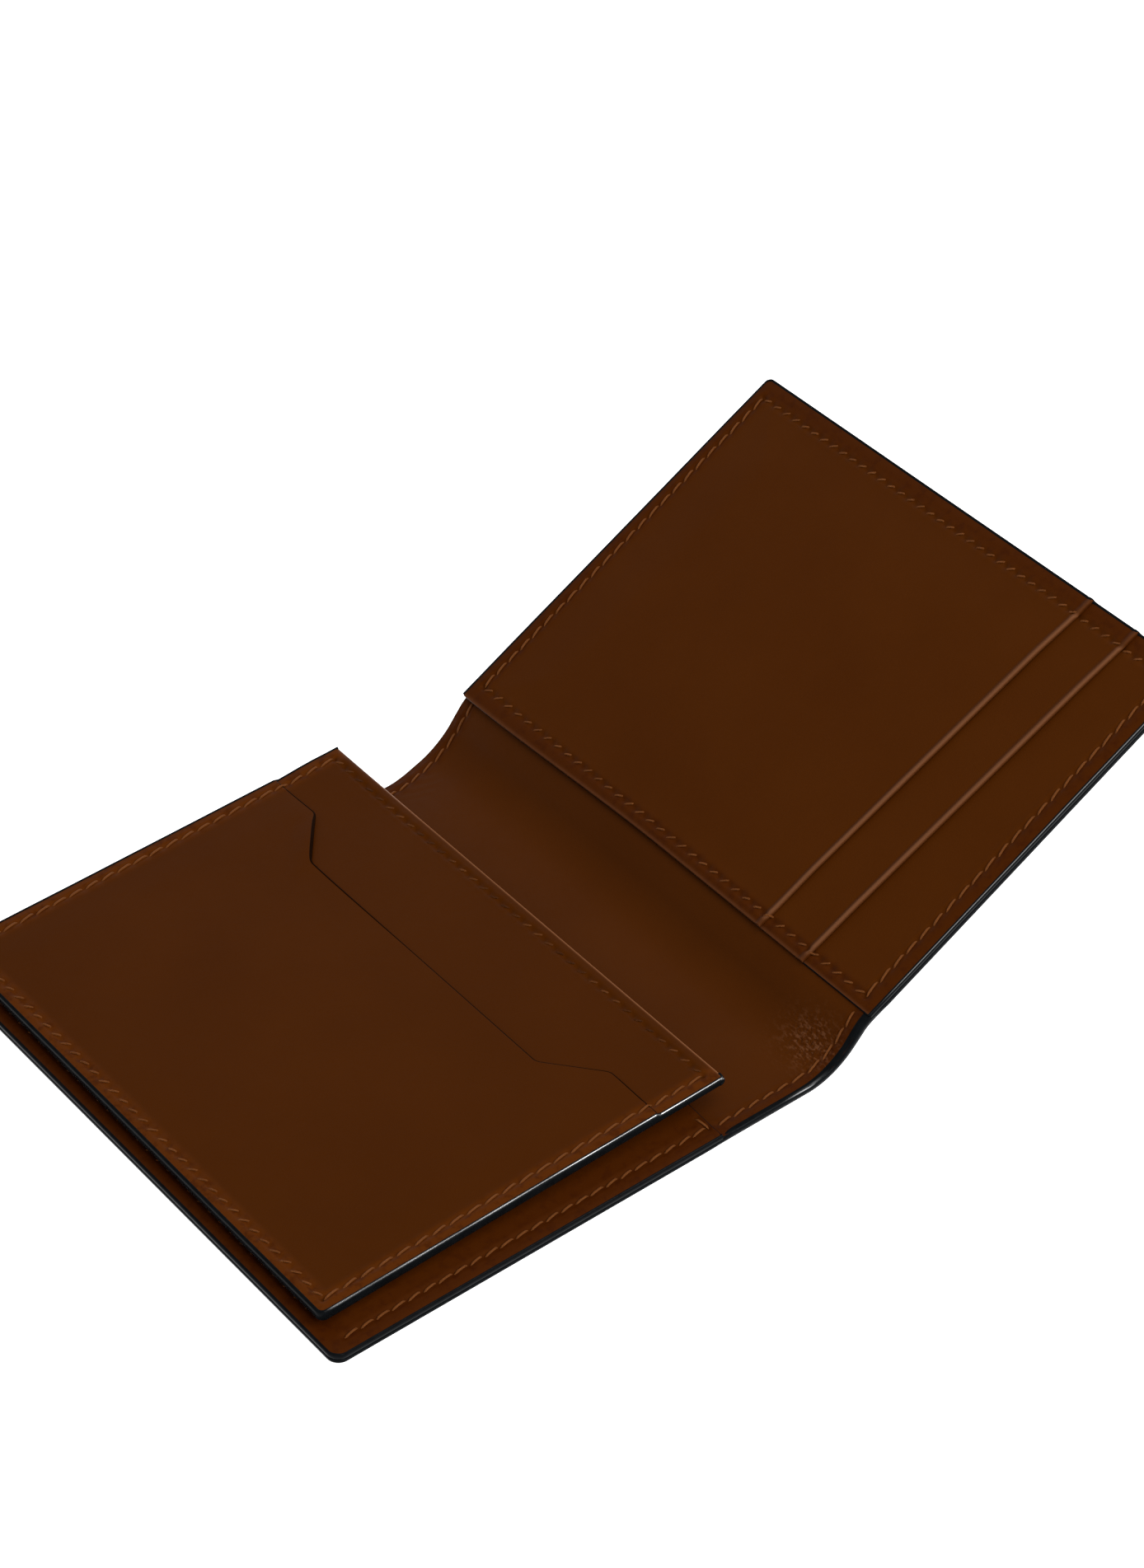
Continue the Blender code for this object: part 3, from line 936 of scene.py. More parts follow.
@dataclass
class Covers:
    """Outer cover and note lining, which run from the left cover over the spine to the right cover."""

    palette: Palette
    height: float = 126.0
    flat: float = 111.66  # from the left outer edge to where the spine starts to rise
    rise: tuple[float, float] = (11.575, 50.28)
    straight: float = 3.86
    ease: tuple[float, float] = (3.19, -21.88)
    panel: float = 92.7
    meet: float = 110.0  # where the two lengths of each sheet meet
    slip_width: float = 90.3
    lining_top: float = 1.5
    lining: float = 0.4
    cover: float = 0.9
    corner_left: float = 2.5
    corner_right: float = 1.4
    near_row: float = 3.3
    far_row: float = 123.4
    drawn_in: float = 4.2  # the far edge at the bend
    paint_rim: float = -0.55  # upper and lower side of the edge paint, from the lining's upper face
    paint_foot: float = -1.5
    paint_over: float = 0.77  # how much higher it stands where it covers the lining too

    def __post_init__(self) -> None:
        """Find the wallet's corner in the row frame and lay the line that the sheets follow."""
        low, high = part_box("outer_cover_left")
        self.origin = Plane(low.x / MM, low.y / MM, 0.0)
        self.height = (high.y - low.y) / MM
        self.hinges = {j["name"]: np.array(j["pos_m"]) / MM for j in frame["joints"] if "pos_m" in j}
        start = Plane(low.x / MM, low.y / MM, self.lining_top)
        runs = ((self.flat, 0.0), self.rise, (self.straight, 0.0), self.ease, (self.panel, 0.0))
        self.line = Bend(start, runs, gather=self.gather)
        self.panel_start = sum(length for length, _ in runs[:-1])
        self.end = self.panel_start + self.panel

    def gather(self, across: Array, along: Array) -> Array:
        """Return how far the far edge is drawn in where the spine bends."""
        drawn = self.drawn_in * hump(across, 101.0, 12.5)
        return drawn * smooth(along, 84.0, 126.0)

    def pebbled(self, across: Array, along: Array) -> Array:
        """Return where the lining is crumpled, at the near end of the rise; the finish also paints sheen on
        its creases there.
        """
        return hump(across, 119.5, 5.0) * hump(along, 7.5, 6.0)

    def creases(self, across: Array, along: Array) -> Array:
        """Return fine creases across the near end of the spine."""
        here = self.pebbled(across, along)
        wave = np.sin((across * 0.62 + along * 0.9) * 2.4 + 0.7 * np.sin(across * 1.1)) ** 2
        far = hump(across, 108.0, 6.0) * hump(along, 121.0, 5.0)
        return -0.13 * here * wave - 0.06 * far * np.sin(along * 1.3 + across * 0.8) ** 2

    def lining_relief(self, across: Array, along: Array) -> Array:
        """Return the lining's own unevenness: a soft swell over the spine, and creases."""
        edge = np.minimum(along, self.height - along)
        open_spine = smooth(across, 92.0, 99.0) * (1.0 - smooth(across, 123.0, 129.5))
        swell = 0.35 * open_spine * smooth(edge, 3.0, 16.0)
        wavy = self.creases(across, along) + unevenness(across, along, 0.05, 0.4)
        return swell + (bead(edge) + wavy) * open_spine

    def seam_rows(self) -> tuple[SeamRow, ...]:
        """Return the seams that join lining and cover along the spine."""
        rows = []
        for y in (self.near_row, self.far_row):
            rows.append(SeamRow((self.slip_width + 1.5, y), (self.meet - 0.1, y), hole=0.16))
            rows.append(SeamRow((self.meet + 0.1, y), (self.panel_start - 0.7, y), hole=0.16))
        return tuple(rows)

    def blend_left(self, piece: Piece) -> None:
        """Bake the placing of a piece of the left length into its points."""
        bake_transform(piece)

    def blend_right(self, piece: Piece) -> None:
        """Bake the placing of a piece of the right length into its points."""
        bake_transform(piece)

    def margin(self, across: Array, along: Array) -> Array:
        """Return the redder margin outside the seams."""
        return 0.85 * (1.0 - smooth(np.minimum(along, self.height - along), 2.6, 5.0))

    def build(self) -> None:
        """Build both sheets, their seams and their painted edges."""
        palette = self.palette
        along = spaced(0.0, self.height, 9.0, 0.42, 2.2)
        coarse = spaced(0.0, self.height, 5.0, 0.6, 4.0)
        left_lines = np.concatenate((spaced(0.0, 88.0, 5.0, 0.8, 4.0), np.linspace(88.6, self.meet, 38)))
        right_lines = np.concatenate(
            (np.linspace(self.meet, self.panel_start, 40),
             spaced(self.panel_start + 1.5, self.end, 4.0, 0.7, 4.0))
        )
        rows = self.seam_rows()
        lining = {"base": -self.lining, "thickness": self.lining, "placing": self.line,
                  "materials": (palette.brown, palette.paint)}
        cover = {"base": -self.lining_top, "thickness": self.cover, "placing": self.line,
                 "materials": (palette.outside, palette.paint)}
        left_corners = (self.corner_left, 0.0, 0.0, self.corner_left)
        right_corners = (0.0, self.corner_right, self.corner_right, 0.0)

        piece = Panel("lining_sheet_left", left_lines, along, corners=left_corners,
                      flush=frozenset({Side.HIGH}),
                      seams=(rows[0], rows[2]), relief=self.lining_relief, margin=self.margin, rounded=0.15,
                      **lining).build()
        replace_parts(report(piece), "note_lining_left")
        self.blend_left(piece)
        piece = Panel("lining_sheet_right", right_lines, along, corners=right_corners,
                      flush=frozenset({Side.LOW}),
                      seams=(rows[1], rows[3]), relief=self.lining_relief, margin=self.margin, rounded=0.15,
                      creased=self.pebbled, **lining).build()
        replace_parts(report(piece), "note_lining_spine", "note_lining_riser",
                    "note_lining_right")
        self.blend_right(piece)
        piece = Panel("cover_sheet_left", left_lines, coarse, corners=left_corners,
                      flush=frozenset({Side.HIGH}), **cover).build()
        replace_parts(report(piece), "outer_cover_left")
        self.blend_left(piece)
        piece = Panel("cover_sheet_right", right_lines, coarse, corners=right_corners,
                      flush=frozenset({Side.LOW}), **cover).build()
        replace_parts(report(piece), "outer_cover_spine", "outer_cover_riser",
                    "outer_cover_right")
        self.blend_right(piece)

        for name, pair, blend in (
            ("spine_stitches_left", (rows[0], rows[2]), self.blend_left),
            ("spine_stitches_right", (rows[1], rows[3]), self.blend_right),
        ):
            piece = Stitches(name, pair, self.lining_relief, self.line, palette.thread).build()
            blend(report(piece))
        self.build_edges()

    def built_up(self, across: Array, along: Array) -> Array:
        """Return where the paint covers the lining too, on the near edge of bend and rise."""
        return (along < 1.0) * smooth(across, 86.0, 94.0) * (1.0 - smooth(across, 131.0, 135.0))

    def underside(self, across: Array, along: Array) -> Array:
        """Return the lower rim of the paint, which is fuller along the right cover's near edge."""
        return self.paint_foot - 0.35 * (along < 1.0) * smooth(across, 118.0, 128.0)

    def paint_top(self, across: Array, along: Array) -> Array:
        """Return the upper rim of the paint."""
        return self.paint_rim + self.paint_over * self.built_up(across, along)

    def paint_gloss(self, across: Array, along: Array) -> Array:
        """Return how polished the paint is: only where it turns up at the bend."""
        return 0.38 * hump(across, 111.0, 3.0) * (along < 1.0)

    def paint_width(self, path: Array) -> Array:
        """Return how far in the paint reaches from the edge, at each point of its path."""
        wide = 0.75 + 0.5 * smooth(path[:, 0], 108.0, 120.0)
        return 0.35 + wide * self.built_up(path[:, 0], path[:, 1])

    def build_edges(self) -> None:
        """Build the bead of paint round the outer cover, in two lengths."""
        h, meet, end = self.height, self.meet, self.end
        r, q = self.corner_left, self.corner_right
        left = edge_path([(meet, h, 0.0), (0.0, h, r), (0.0, 0.0, r), (meet, 0.0, 0.0)])
        right = edge_path([(meet, 0.0, 0.0), (end, 0.0, q), (end, h, q), (meet, h, 0.0)])
        for name, path, blend in (
            ("cover_edge_left", left, self.blend_left),
            ("cover_edge_right", right, self.blend_right),
        ):
            piece = EdgeBand(
                name, path, top=self.paint_top, bottom=self.underside, placing=self.line,
                material=self.palette.paint, outside=0.16, inside=self.paint_width(path),
                rounding=0.42, gloss=self.paint_gloss,
            ).build()
            blend(report(piece))


@dataclass
class SlipPocket:
    """The panel on the left cover that takes the holder's tongue, sewn along its near and outer edges."""

    palette: Palette
    covers: Covers
    width: float = 90.3
    base: float = 2.3
    thickness: float = 0.5
    inset: float = 3.4

    def press(self, x: Array, y: Array) -> Array:
        """Return how far the sewn edges are pressed down on to the lining."""
        return -0.6 * (1.0 - smooth(np.minimum(x, y), 2.6, 11.0))

    def top(self, x: Array, y: Array) -> Array:
        """Return the height of the panel's upper face."""
        return self.base + self.thickness + self.press(x, y) + self.relief(x, y)

    def relief(self, x: Array, y: Array) -> Array:
        """Return the raised margin outside the seams, and a little unevenness."""
        edge = np.minimum(x, y)
        return 0.10 * hump(edge, 1.1, 0.7) + unevenness(x, y, 0.04, 2.0) * smooth(edge, 2.0, 10.0)

    def build(self) -> None:
        """Build the panel, its seam and its painted edges."""
        covers, palette = self.covers, self.palette
        h = covers.height
        rows = (
            SeamRow((self.width - 1.2, self.inset), (self.inset + 0.8, self.inset), pitch=3.54),
            SeamRow((self.inset, self.inset + 7.5), (self.inset, h - 3.0), pitch=3.35, share=0.7, slant=24.0,
                    dull=0.5),
            SeamRow((self.width - 1.1, self.inset - 0.4), (self.width - 1.1, self.inset + 3.2), pitch=3.6),
        )
        panel = Panel(
            "slip_pocket_skin", spaced(0.0, self.width, *EDGE_LINES, 0.7), spaced(0.0, h, *EDGE_LINES, 0.7),
            base=self.base, thickness=self.thickness, placing=covers.origin,
            materials=(palette.brown, palette.paint),
            corners=(covers.corner_left, 0.6, 0.6, covers.corner_left), seams=rows, lift=self.press,
            relief=self.relief,
            # The redder margin reaches far in here, to 13 mm from the sewn edges, and so also stands as
            # painted shade from the holder.
            margin=lambda x, y: 0.9 * (1.0 - smooth(np.minimum(x, y), 3.0, 13.0)),
        )
        fit(panel.build(), "left_cover", "brown_leather", "slip_pocket_panel")
        stitches = Stitches("slip_pocket_stitches", rows, self.top, covers.origin, palette.thread).build()
        fit(stitches, "left_cover", "thread", "slip_pocket_seam_thread")
        path = edge_path([(0.0, h - covers.corner_left, 0.0), (0.0, 0.0, covers.corner_left),
                          (self.width, 0.0, 0.0)])
        band = EdgeBand("slip_pocket_edge", path, top=lambda x, y: self.top(x, y) + 0.02,
                        bottom=lambda x, y: np.full(len(x), 0.98), placing=covers.origin,
                        material=palette.paint)
        fit(band.build(), "left_cover")


@dataclass
class CardPanel:
    """The right cover's backing and its two stepped card pockets, each with a turned edge at its slot."""

    palette: Palette
    covers: Covers
    width: float = 92.7
    slots: tuple[float, float] = (17.0, 29.5)
    slope: float = -0.045  # the slots run a little towards the note opening at the outer edge
    thickness: float = 0.5
    bases: tuple[float, float, float] = (0.08, 0.85,
                                         1.62)  # backing, middle and front pocket, above the lining
    pressed: tuple[float, float, float] = (0.03, 0.56, 1.09)
    insets: tuple[float, float, float, float] = (3.7, 4.4, 2.7, 2.7)  # near, outer, far and spine side
    short: float = 0.1  # the panel ends this far before the cover's closed edge
    pocket_room: float = 85.9  # between the side seams

    def __post_init__(self) -> None:
        """Take the panel's plane from the end of the spine."""
        self.plane = self.covers.line.plane_at(self.covers.panel_start)
        self.far = self.covers.height - self.short

    def edge_distance(self, x: Array, y: Array) -> Array:
        """Return the distance to the nearest sewn edge."""
        return np.minimum.reduce((x - self.spine_edge(y), self.width - x, y, self.far - y))

    def spine_edge(self, y: Array) -> Array:
        """Return where the panel's edge beside the spine lies, which leans out towards the closed edge."""
        return -1.4 * smooth(y, 62.0, 122.0)

    def slot_line(self, number: int, x: Array) -> Array:
        """Return where a slot's edge lies, along the panel."""
        return self.slots[number] + self.slope * (x - self.width / 2)

    def lift(self, layer: int) -> Surface:
        """Return how far a layer is pressed down along the sewn edges."""
        drop = self.pressed[layer] - self.bases[layer]
        return lambda x, y: drop * (1.0 - smooth(self.edge_distance(x, y), 3.2, 17.0))

    def relief(self, layer: int) -> Surface:
        """Return a layer's raised margin, turned edge and unevenness."""

        def raised(x: Array, y: Array) -> Array:
            """Return the height added to the upper face."""
            edge = self.edge_distance(x, y)
            height = bead(edge) + unevenness(x, y, 0.035, 1.0 + layer)
            if layer:
                back = y - self.slot_line(layer - 1, x)
                fold = np.sqrt(np.clip(1.0 - ((back - 0.55) / 0.75) ** 2, 0.0, 1.0))
                height = height + 0.30 * fold * (back < 1.3) - 0.09 * hump(back, 1.65, 0.35)
            return height

        return raised

    def top(self, x: Array, y: Array) -> Array:
        """Return the height of whichever layer is uppermost."""
        height = self.bases[0] + self.thickness + self.lift(0)(x, y) + self.relief(0)(x, y)
        for layer in (1, 2):
            over = self.bases[layer] + self.thickness + self.lift(layer)(x, y) + self.relief(layer)(x, y)
            on = smooth(y - self.slot_line(layer - 1, x), -0.5, 0.4)
            height = height + (over - height) * on
        return height

    def panel_top(self, x: Array, y: Array) -> Array:
        """Return the height of the painted edge's upper side."""
        above = 0.03 + 0.10 * (y > self.far - 1.0) + 0.06 * (x > self.width - 1.0)
        return self.top(np.clip(x, -0.6, self.width - 0.6), np.clip(y, 0.6, self.far - 0.6)) + above

    def margin(self, x: Array, y: Array) -> Array:
        """Return the redder margin outside the seams."""
        return 0.8 * (1.0 - smooth(self.edge_distance(x, y), 2.6, 4.8))

    def build(self) -> None:
        """Build the layers, their seams and the painted edge."""
        covers, palette = self.covers, self.palette
        h, w = self.far, self.width
        near, outer, far, spine = self.insets
        rows = (
            SeamRow((spine, near), (w - outer, near), pitch=3.71),
            SeamRow((w - outer, near), (w - outer, h - far), pitch=3.01, share=0.62, slant=32.0, hole=0.36,
                    dull=0.25),
            SeamRow((w - outer, h - far), (spine, h - far), pitch=3.59),
            SeamRow((spine, h - far), (spine, near), pitch=3.31, share=0.62, slant=32.0, hole=0.36,
                    dull=0.25),
        )
        across = spaced(0.0, w, *EDGE_LINES, 0.66)
        corner = covers.corner_right
        names = ("card_backing_skin", "middle_pocket_skin", "front_pocket_skin")
        nodes = ("card_panel_backing", "card_pocket_middle", "card_pocket_front")
        for layer, (name, node) in enumerate(zip(names, nodes)):
            start = 0.0 if layer == 0 else self.slots[layer - 1]
            margin, fine = (3.0, 0.38) if layer else EDGE_LINES
            first = spaced(start, start + 17.0, margin, fine, 0.6)
            last = (*EDGE_LINES, 0.66) if layer == 2 else (3.0, 0.6, 4.0)
            along = np.concatenate((first[:-1], spaced(start + 17.0, h, *last)))
            corners = (0.0, 0.0, corner, 0.5) if layer else (0.5, corner, corner, 0.5)
            # The backing's paint on its side beside the spine is painted shadow: a dark line for the shade
            # under that turned edge.
            painted = frozenset({Side.HIGH, Side.FAR}) if layer else frozenset(Side)
            panel = Panel(
                name, across, along, base=self.bases[layer], thickness=self.thickness, placing=self.plane,
                materials=(palette.brown, palette.paint), corners=corners, painted=painted,
                seams=rows, lift=self.lift(layer), relief=self.relief(layer), margin=self.margin,
                painted_highlight=self.painted_highlight_lines(layer),
                warp=self.askew(layer),
            )
            fit(panel.build(), "right_cover", "brown_leather", node)
        stitches = Stitches("card_panel_stitches", rows, self.top, self.plane, palette.thread).build()
        fit(stitches, "right_cover", "thread", "card_panel_seam_thread")
        path = edge_path([(0.3, 0.0, 0.0), (w, 0.0, corner), (w, h, corner), (-1.2, h, 0.0)], step=0.6)
        band = EdgeBand("card_panel_edge", path, top=self.panel_top, bottom=lambda x,
                        y: np.full(len(x), -0.5),
                        placing=self.plane, material=palette.paint,
                        gloss=lambda x, y: 0.14 * (y < 1.0) * smooth(x, 2.0, 12.0))
        fit(band.build(), "right_cover")
        self.build_linings()

    def painted_highlight_lines(self, layer: int) -> Surface:
        """Return the painted highlight along a pocket's turned edge and along the panel's edge beside the
        spine.
        """

        def paler(x: Array, y: Array) -> Array:
            """Return how strong the painted highlight is."""
            beside = 0.3 * hump(x, self.spine_edge(y), 0.5)
            if not layer:
                return beside
            sewn = 0.3 + 0.7 * smooth(x, 1.0, 3.2) * (1.0 - smooth(x, self.width - 5.2, self.width - 3.6))
            turned = hump(y - self.slot_line(layer - 1, x), 0.5, 0.42)
            return np.maximum(beside, 0.85 * sewn * turned)

        return paler

    def askew(self, layer: int) -> Callable[[float, float], tuple[float, float]]:
        """Return how a layer's cut leans out beside the spine, and its slot runs a little askew."""
        start = self.slots[layer - 1] if layer else 0.0

        def moved(x: float, y: float) -> tuple[float, float]:
            """Return the moved point."""
            if layer:
                lean = float(self.slot_line(layer - 1, np.array([x]))[0]) - start
                y += lean * max(0.0, 1.0 - (y - start) / 12.0)
            x += float(self.spine_edge(np.array([y]))[0]) * max(0.0, 1.0 - x / 14.0)
            return x, y

        return moved

    def build_linings(self) -> None:
        """Build the cloth linings inside the two pockets."""
        for number, node in enumerate(("card_pocket_lining_middle", "card_pocket_lining_front")):
            base = self.bases[number + 1] - 0.05 - CLOTH_THICKNESS
            x0 = (self.width - self.pocket_room) / 2
            y0, y1 = self.slots[number] + 3.5, self.far - 3.5
            panel = Panel(
                ("middle_pocket_cloth", "front_pocket_cloth")[number],
                spaced(x0 + 1.0, self.width - x0 - 1.0, 3.0, 1.0, 3.0),
                spaced(y0, y1, 3.0, 1.0, 3.0), base=base, thickness=CLOTH_THICKNESS, placing=self.plane,
                materials=(self.palette.cloth,),
                rounded=0.05, lift=lambda x, y, n=number: self.lift(n + 1)(x, y) * 0.9,
            )
            piece = fit(panel.build(), "right_cover", "pocket_cloth", node)


@dataclass
class Holder:
    """The removable card holder: a folded wrap, a pocket face with a thumb cut, and a tongue."""

    palette: Palette
    covers: Covers
    width: float = 94.5
    length: float = 124.0
    wrap_height: float = 1.75
    wrap: float = 0.6
    face_base: float = 1.95
    face: float = 0.5
    insets: tuple[float, float, float, float] = (2.8, 3.0, 2.5, 2.4)  # near, spine side, far and outer
    corner: float = 1.4
    slope: float = math.asin(2.5 / 94.5)
    cut_side: float = 16.3  # from the folded edge to the pocket face beside the cut
    cut_depth: float = 9.2
    cut_start: float = 14.2
    cut_run: float = 11.2
    curl: float = 0.6  # of the far corner beside the fold
    gape: float = 0.5  # of the pocket face at the far slanted side of the cut

    def __post_init__(self) -> None:
        """Find the holder's plane, with the folded edge at 0 and the outer edge below 0."""
        low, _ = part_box("holder_back_panel")
        self.plane = Plane(
            low.x / MM + self.width * math.cos(self.slope), low.y / MM,
            low.z / MM + self.width * math.sin(self.slope), self.slope
        )
        self.bend = self.wrap_height / 2

    def cut_line(self, y: Array) -> Array:
        """Return the pocket face's edge towards the fold, with its corners eased."""
        a, b = self.cut_start, self.cut_start + self.cut_run
        at = (-9.0, a, b, self.length - b, self.length - a, self.length + 9.0)
        shallow, deep = -self.cut_side, -self.cut_side - self.cut_depth
        to = (shallow, shallow, deep, deep, shallow, shallow)
        return np.mean([np.interp(y + shift, at, to) for shift in np.linspace(-0.7, 0.7, 7)], axis=0)

    def cut_face(self, x: float, y: float) -> tuple[float, float]:
        """Return a point of the pocket face moved to follow the thumb cut."""
        hinge = -self.cut_side - 30.0
        if x > hinge:
            edge = float(self.cut_line(np.array([y]))[0])
            x = hinge + (x - hinge) * (edge - hinge) / (-self.cut_side - hinge)
        return x, y

    def edge(self, x: Array, y: Array) -> Array:
        """Return the distance to the nearest sewn edge."""
        return np.minimum.reduce((x + self.width, y, self.length - y))

    def face_lift(self, x: Array, y: Array) -> Array:
        """Return how far the pocket face is pressed on to the wrap at its sewn edges."""
        gape = self.gape * hump(y, self.length - 19.0, 7.0) * smooth(x - self.cut_line(y), -7.0, 0.0)
        return -0.18 * (1.0 - smooth(self.edge(x, y), 3.2, 12.0)) + gape

    def face_relief(self, x: Array, y: Array) -> Array:
        """Return the pocket face's raised margin and unevenness."""
        return bead(self.edge(x, y)) + unevenness(x, y, 0.05, 3.0)

    def wrap_relief(self, x: Array, y: Array) -> Array:
        """Return the wrap's raised margin beside the fold, by distance along the wrap."""
        on_front = x < self.width
        edge = np.minimum.reduce((self.width - 0.2 - x + 99.0 * ~on_front, y, self.length - y))
        fold = np.abs(x - (self.width - self.bend + math.pi * self.bend / 2))
        curl = self.curl * smooth(y, self.length - 24.0, self.length)
        curl = curl * smooth(x, self.width - 19.0, self.width - 6.0)
        curl = curl * (1.0 - smooth(x, self.width - 1.2, self.width))
        return bead(edge) * on_front + 0.10 * hump(fold, 0.0, 2.0) + curl

    def front(self, x: Array, y: Array) -> Array:
        """Return the height of the holder's upper face."""
        wrap = self.wrap_height + self.wrap_relief(x + self.width, y)
        face = self.face_base + self.face + self.face_lift(x, y) + self.face_relief(x, y)
        return wrap + (face - wrap) * (1.0 - smooth(x - self.cut_line(y), -0.2, 0.6))

    def rim(self, x: Array, y: Array) -> Array:
        """Return the upper rim of the painted edge, which stands higher at the far edge."""
        w, l = self.width, self.length
        face = self.front(np.clip(x, -w + 0.6, -1.2), np.clip(y, 0.6, l - 0.6))
        return face + 0.03 + 0.11 * (y > l - 1.0)

    def build(self) -> None:
        """Build the wrap, the pocket face, the seams, the edges and the tongue."""
        w, l = self.width, self.length
        near, spine, far, outer = self.insets
        palette = self.palette
        rows = (
            SeamRow((-w + outer, near), (-spine, near), pitch=4.03),
            SeamRow((-spine, near), (-spine, l - far), pitch=3.47, share=0.6, slant=32.0, hole=0.42,
                    dull=0.8),
            SeamRow((-spine, l - far), (-w + outer, l - far), pitch=3.86),
            SeamRow((-w + outer, l - far), (-w + outer, near), pitch=3.34, share=0.64, slant=34.0, hole=0.36,
                    dull=0.2),
        )
        half = math.pi * self.bend
        straight = w - self.bend
        start = Plane(*self.plane.to_row(np.array([[-w, 0.0, self.wrap_height]]))[0], self.slope)
        wrap_line = Bend(start, ((straight, 0.0), (half, -180.0), (straight, 0.0)))
        shifted = tuple(replace(r, start=(r.start[0] + w, r.start[1]),
                                end=(r.end[0] + w, r.end[1])) for r in rows)
        across = np.concatenate(
            (
                spaced(0.0, w - 30.0, 2.0, 0.6, 4.0),
                np.linspace(w - 29.3, w - 7.0, 36),
                np.linspace(w - 6.6, straight, 15),
                straight + np.linspace(0.0, half, 20)[1:-1],
                straight + half + np.array((0.0, 1.0, 2.0, 3.5, 5.0)),
                spaced(straight + half + 7.0, 2 * straight + half, 2.0, 0.6, 5.0),
            )
        )
        wrap = Panel(
            "holder_wrap_skin", across, spaced(0.0, l, *EDGE_LINES, 0.66), base=-self.wrap,
            thickness=self.wrap, placing=wrap_line,
            materials=(palette.holder, palette.paint), corners=(self.corner,) * 4,
            seams=shifted, relief=self.wrap_relief, rounded=0.2,
            margin=lambda x, y: 0.75 * (1.0 - smooth(np.minimum(y, l - y), 2.6, 4.8)),
            # Painted highlight along the fold, where light catches its rounded edge.
            painted_highlight=lambda x, y: hump(x, straight + 0.62, 0.3),
        ).build()
        stands_for = ("holder_back_panel", "holder_front_panel", "holder_folded_edge")
        fit(wrap, "card_holder", "brown_leather", *stands_for)
        cut, run = self.cut_start, self.cut_run
        face = Panel(
            "holder_face_skin", spaced(-w, -self.cut_side, *EDGE_LINES, 0.66),
            spaced(0.0, l, *EDGE_LINES, 0.66, extra=(cut, cut + run, l - cut, l - cut - run)),
            base=self.face_base, thickness=self.face, placing=self.plane,
            materials=(palette.holder, palette.paint),
            corners=(self.corner, 0.0, 0.0, self.corner), seams=rows, lift=self.face_lift,
            relief=self.face_relief,
            warp=self.cut_face, margin=lambda x, y: 0.75 * (1.0 - smooth(self.edge(x, y), 2.6, 4.8)),
            rounded=0.14,
        ).build()
        fit(face, "card_holder", "brown_leather", "holder_pocket_face")
        stitches = Stitches("holder_stitches", rows, self.front, self.plane, palette.thread).build()
        fit(stitches, "card_holder", "thread", "holder_seam_thread")
        path = edge_path([(-0.5, l, 0.0), (-w, l, self.corner), (-w, 0.0, self.corner), (-0.1, 0.0, 0.7),
                          (-0.1, 1.3, 0.0)], step=0.6)
        band = EdgeBand(
            "holder_edge", path,
            top=self.rim,
            bottom=lambda x, y: np.full(len(x), -0.04), placing=self.plane, material=palette.paint,
            gloss=lambda x, y: (y < 1.0) * smooth(x, -w + 1.0, -w + 4.0) * (0.75 + 0.25 * np.sin(x / 3.1)),
        ).build()
        fit(band, "card_holder")
        along = np.linspace(0.6, l - 0.6, 260)
        lip = side_path(self.cut_line(along), along)
        band = EdgeBand(
            "thumb_cut_edge_and_shadow", lip, top=lambda x, y: self.face_base + self.face + self.face_lift(x, y) + 0.04,
            bottom=lambda x, y: self.face_base + self.face_lift(x, y), placing=self.plane,
            material=palette.edge_and_shadow,
            # The bead widens at the far slanted side of the cut as painted shadow, where the pocket face
            # gapes.
            outside=0.14, inside=0.2 + 0.4 * np.exp(-(((along - l + cut + run / 2) / 5.2) ** 6)),
        ).build()
        fit(band, "card_holder")
        for name, y in (("fold_end_edge_near", 0.0), ("fold_end_edge_far", l - 0.3)):
            fit(self.fold_end(name, y), "card_holder")
        self.build_divider()
        self.build_tongue()

    def fold_end(self, name: str, y: float) -> Piece:
        """Return the painted bead round one end of the fold, shaped like a hook.

        Args:
            name: the piece's name.
            y: how far along the holder it lies.
        """
        rings, radius = 26, self.bend - self.wrap / 2
        bm = rod(12, rings - 2)
        piece = write_mesh(name, bm, (self.palette.paint,), sharp=60.0)
        shape = coordinates(piece)
        turn = (shape[:, 2] + 1.0) / 2.0 * (math.pi + 0.5) - 0.25
        section = np.arctan2(shape[:, 1], shape[:, 0])
        reach = radius + (0.42 if y < 1.0 else 0.1) * np.cos(section)
        points = np.column_stack(
            (reach * np.sin(turn) - self.bend, y + 0.24 * np.sin(section), self.bend + reach * np.cos(turn))
        )
        add_attribute(piece, "gloss",
                      0.8 * smooth(np.cos(section), 0.2, 0.8) * smooth(np.cos(turn), -0.6, 0.4))
        place_points(piece, self.plane.to_row(points))
        return piece

    def build_divider(self) -> None:
        """Build the cloth divider inside the wrap."""
        panel = Panel(
            "holder_divider_cloth", spaced(-self.width + 4.0, -2.0, 3.0, 1.0, 3.0),
            spaced(4.0, self.length - 4.0, 3.0, 1.0, 3.0),
            base=0.8, thickness=CLOTH_THICKNESS, placing=self.plane, materials=(self.palette.cloth,),
            rounded=0.05,
        )
        piece = fit(panel.build(), "card_holder", "pocket_cloth", "holder_divider")

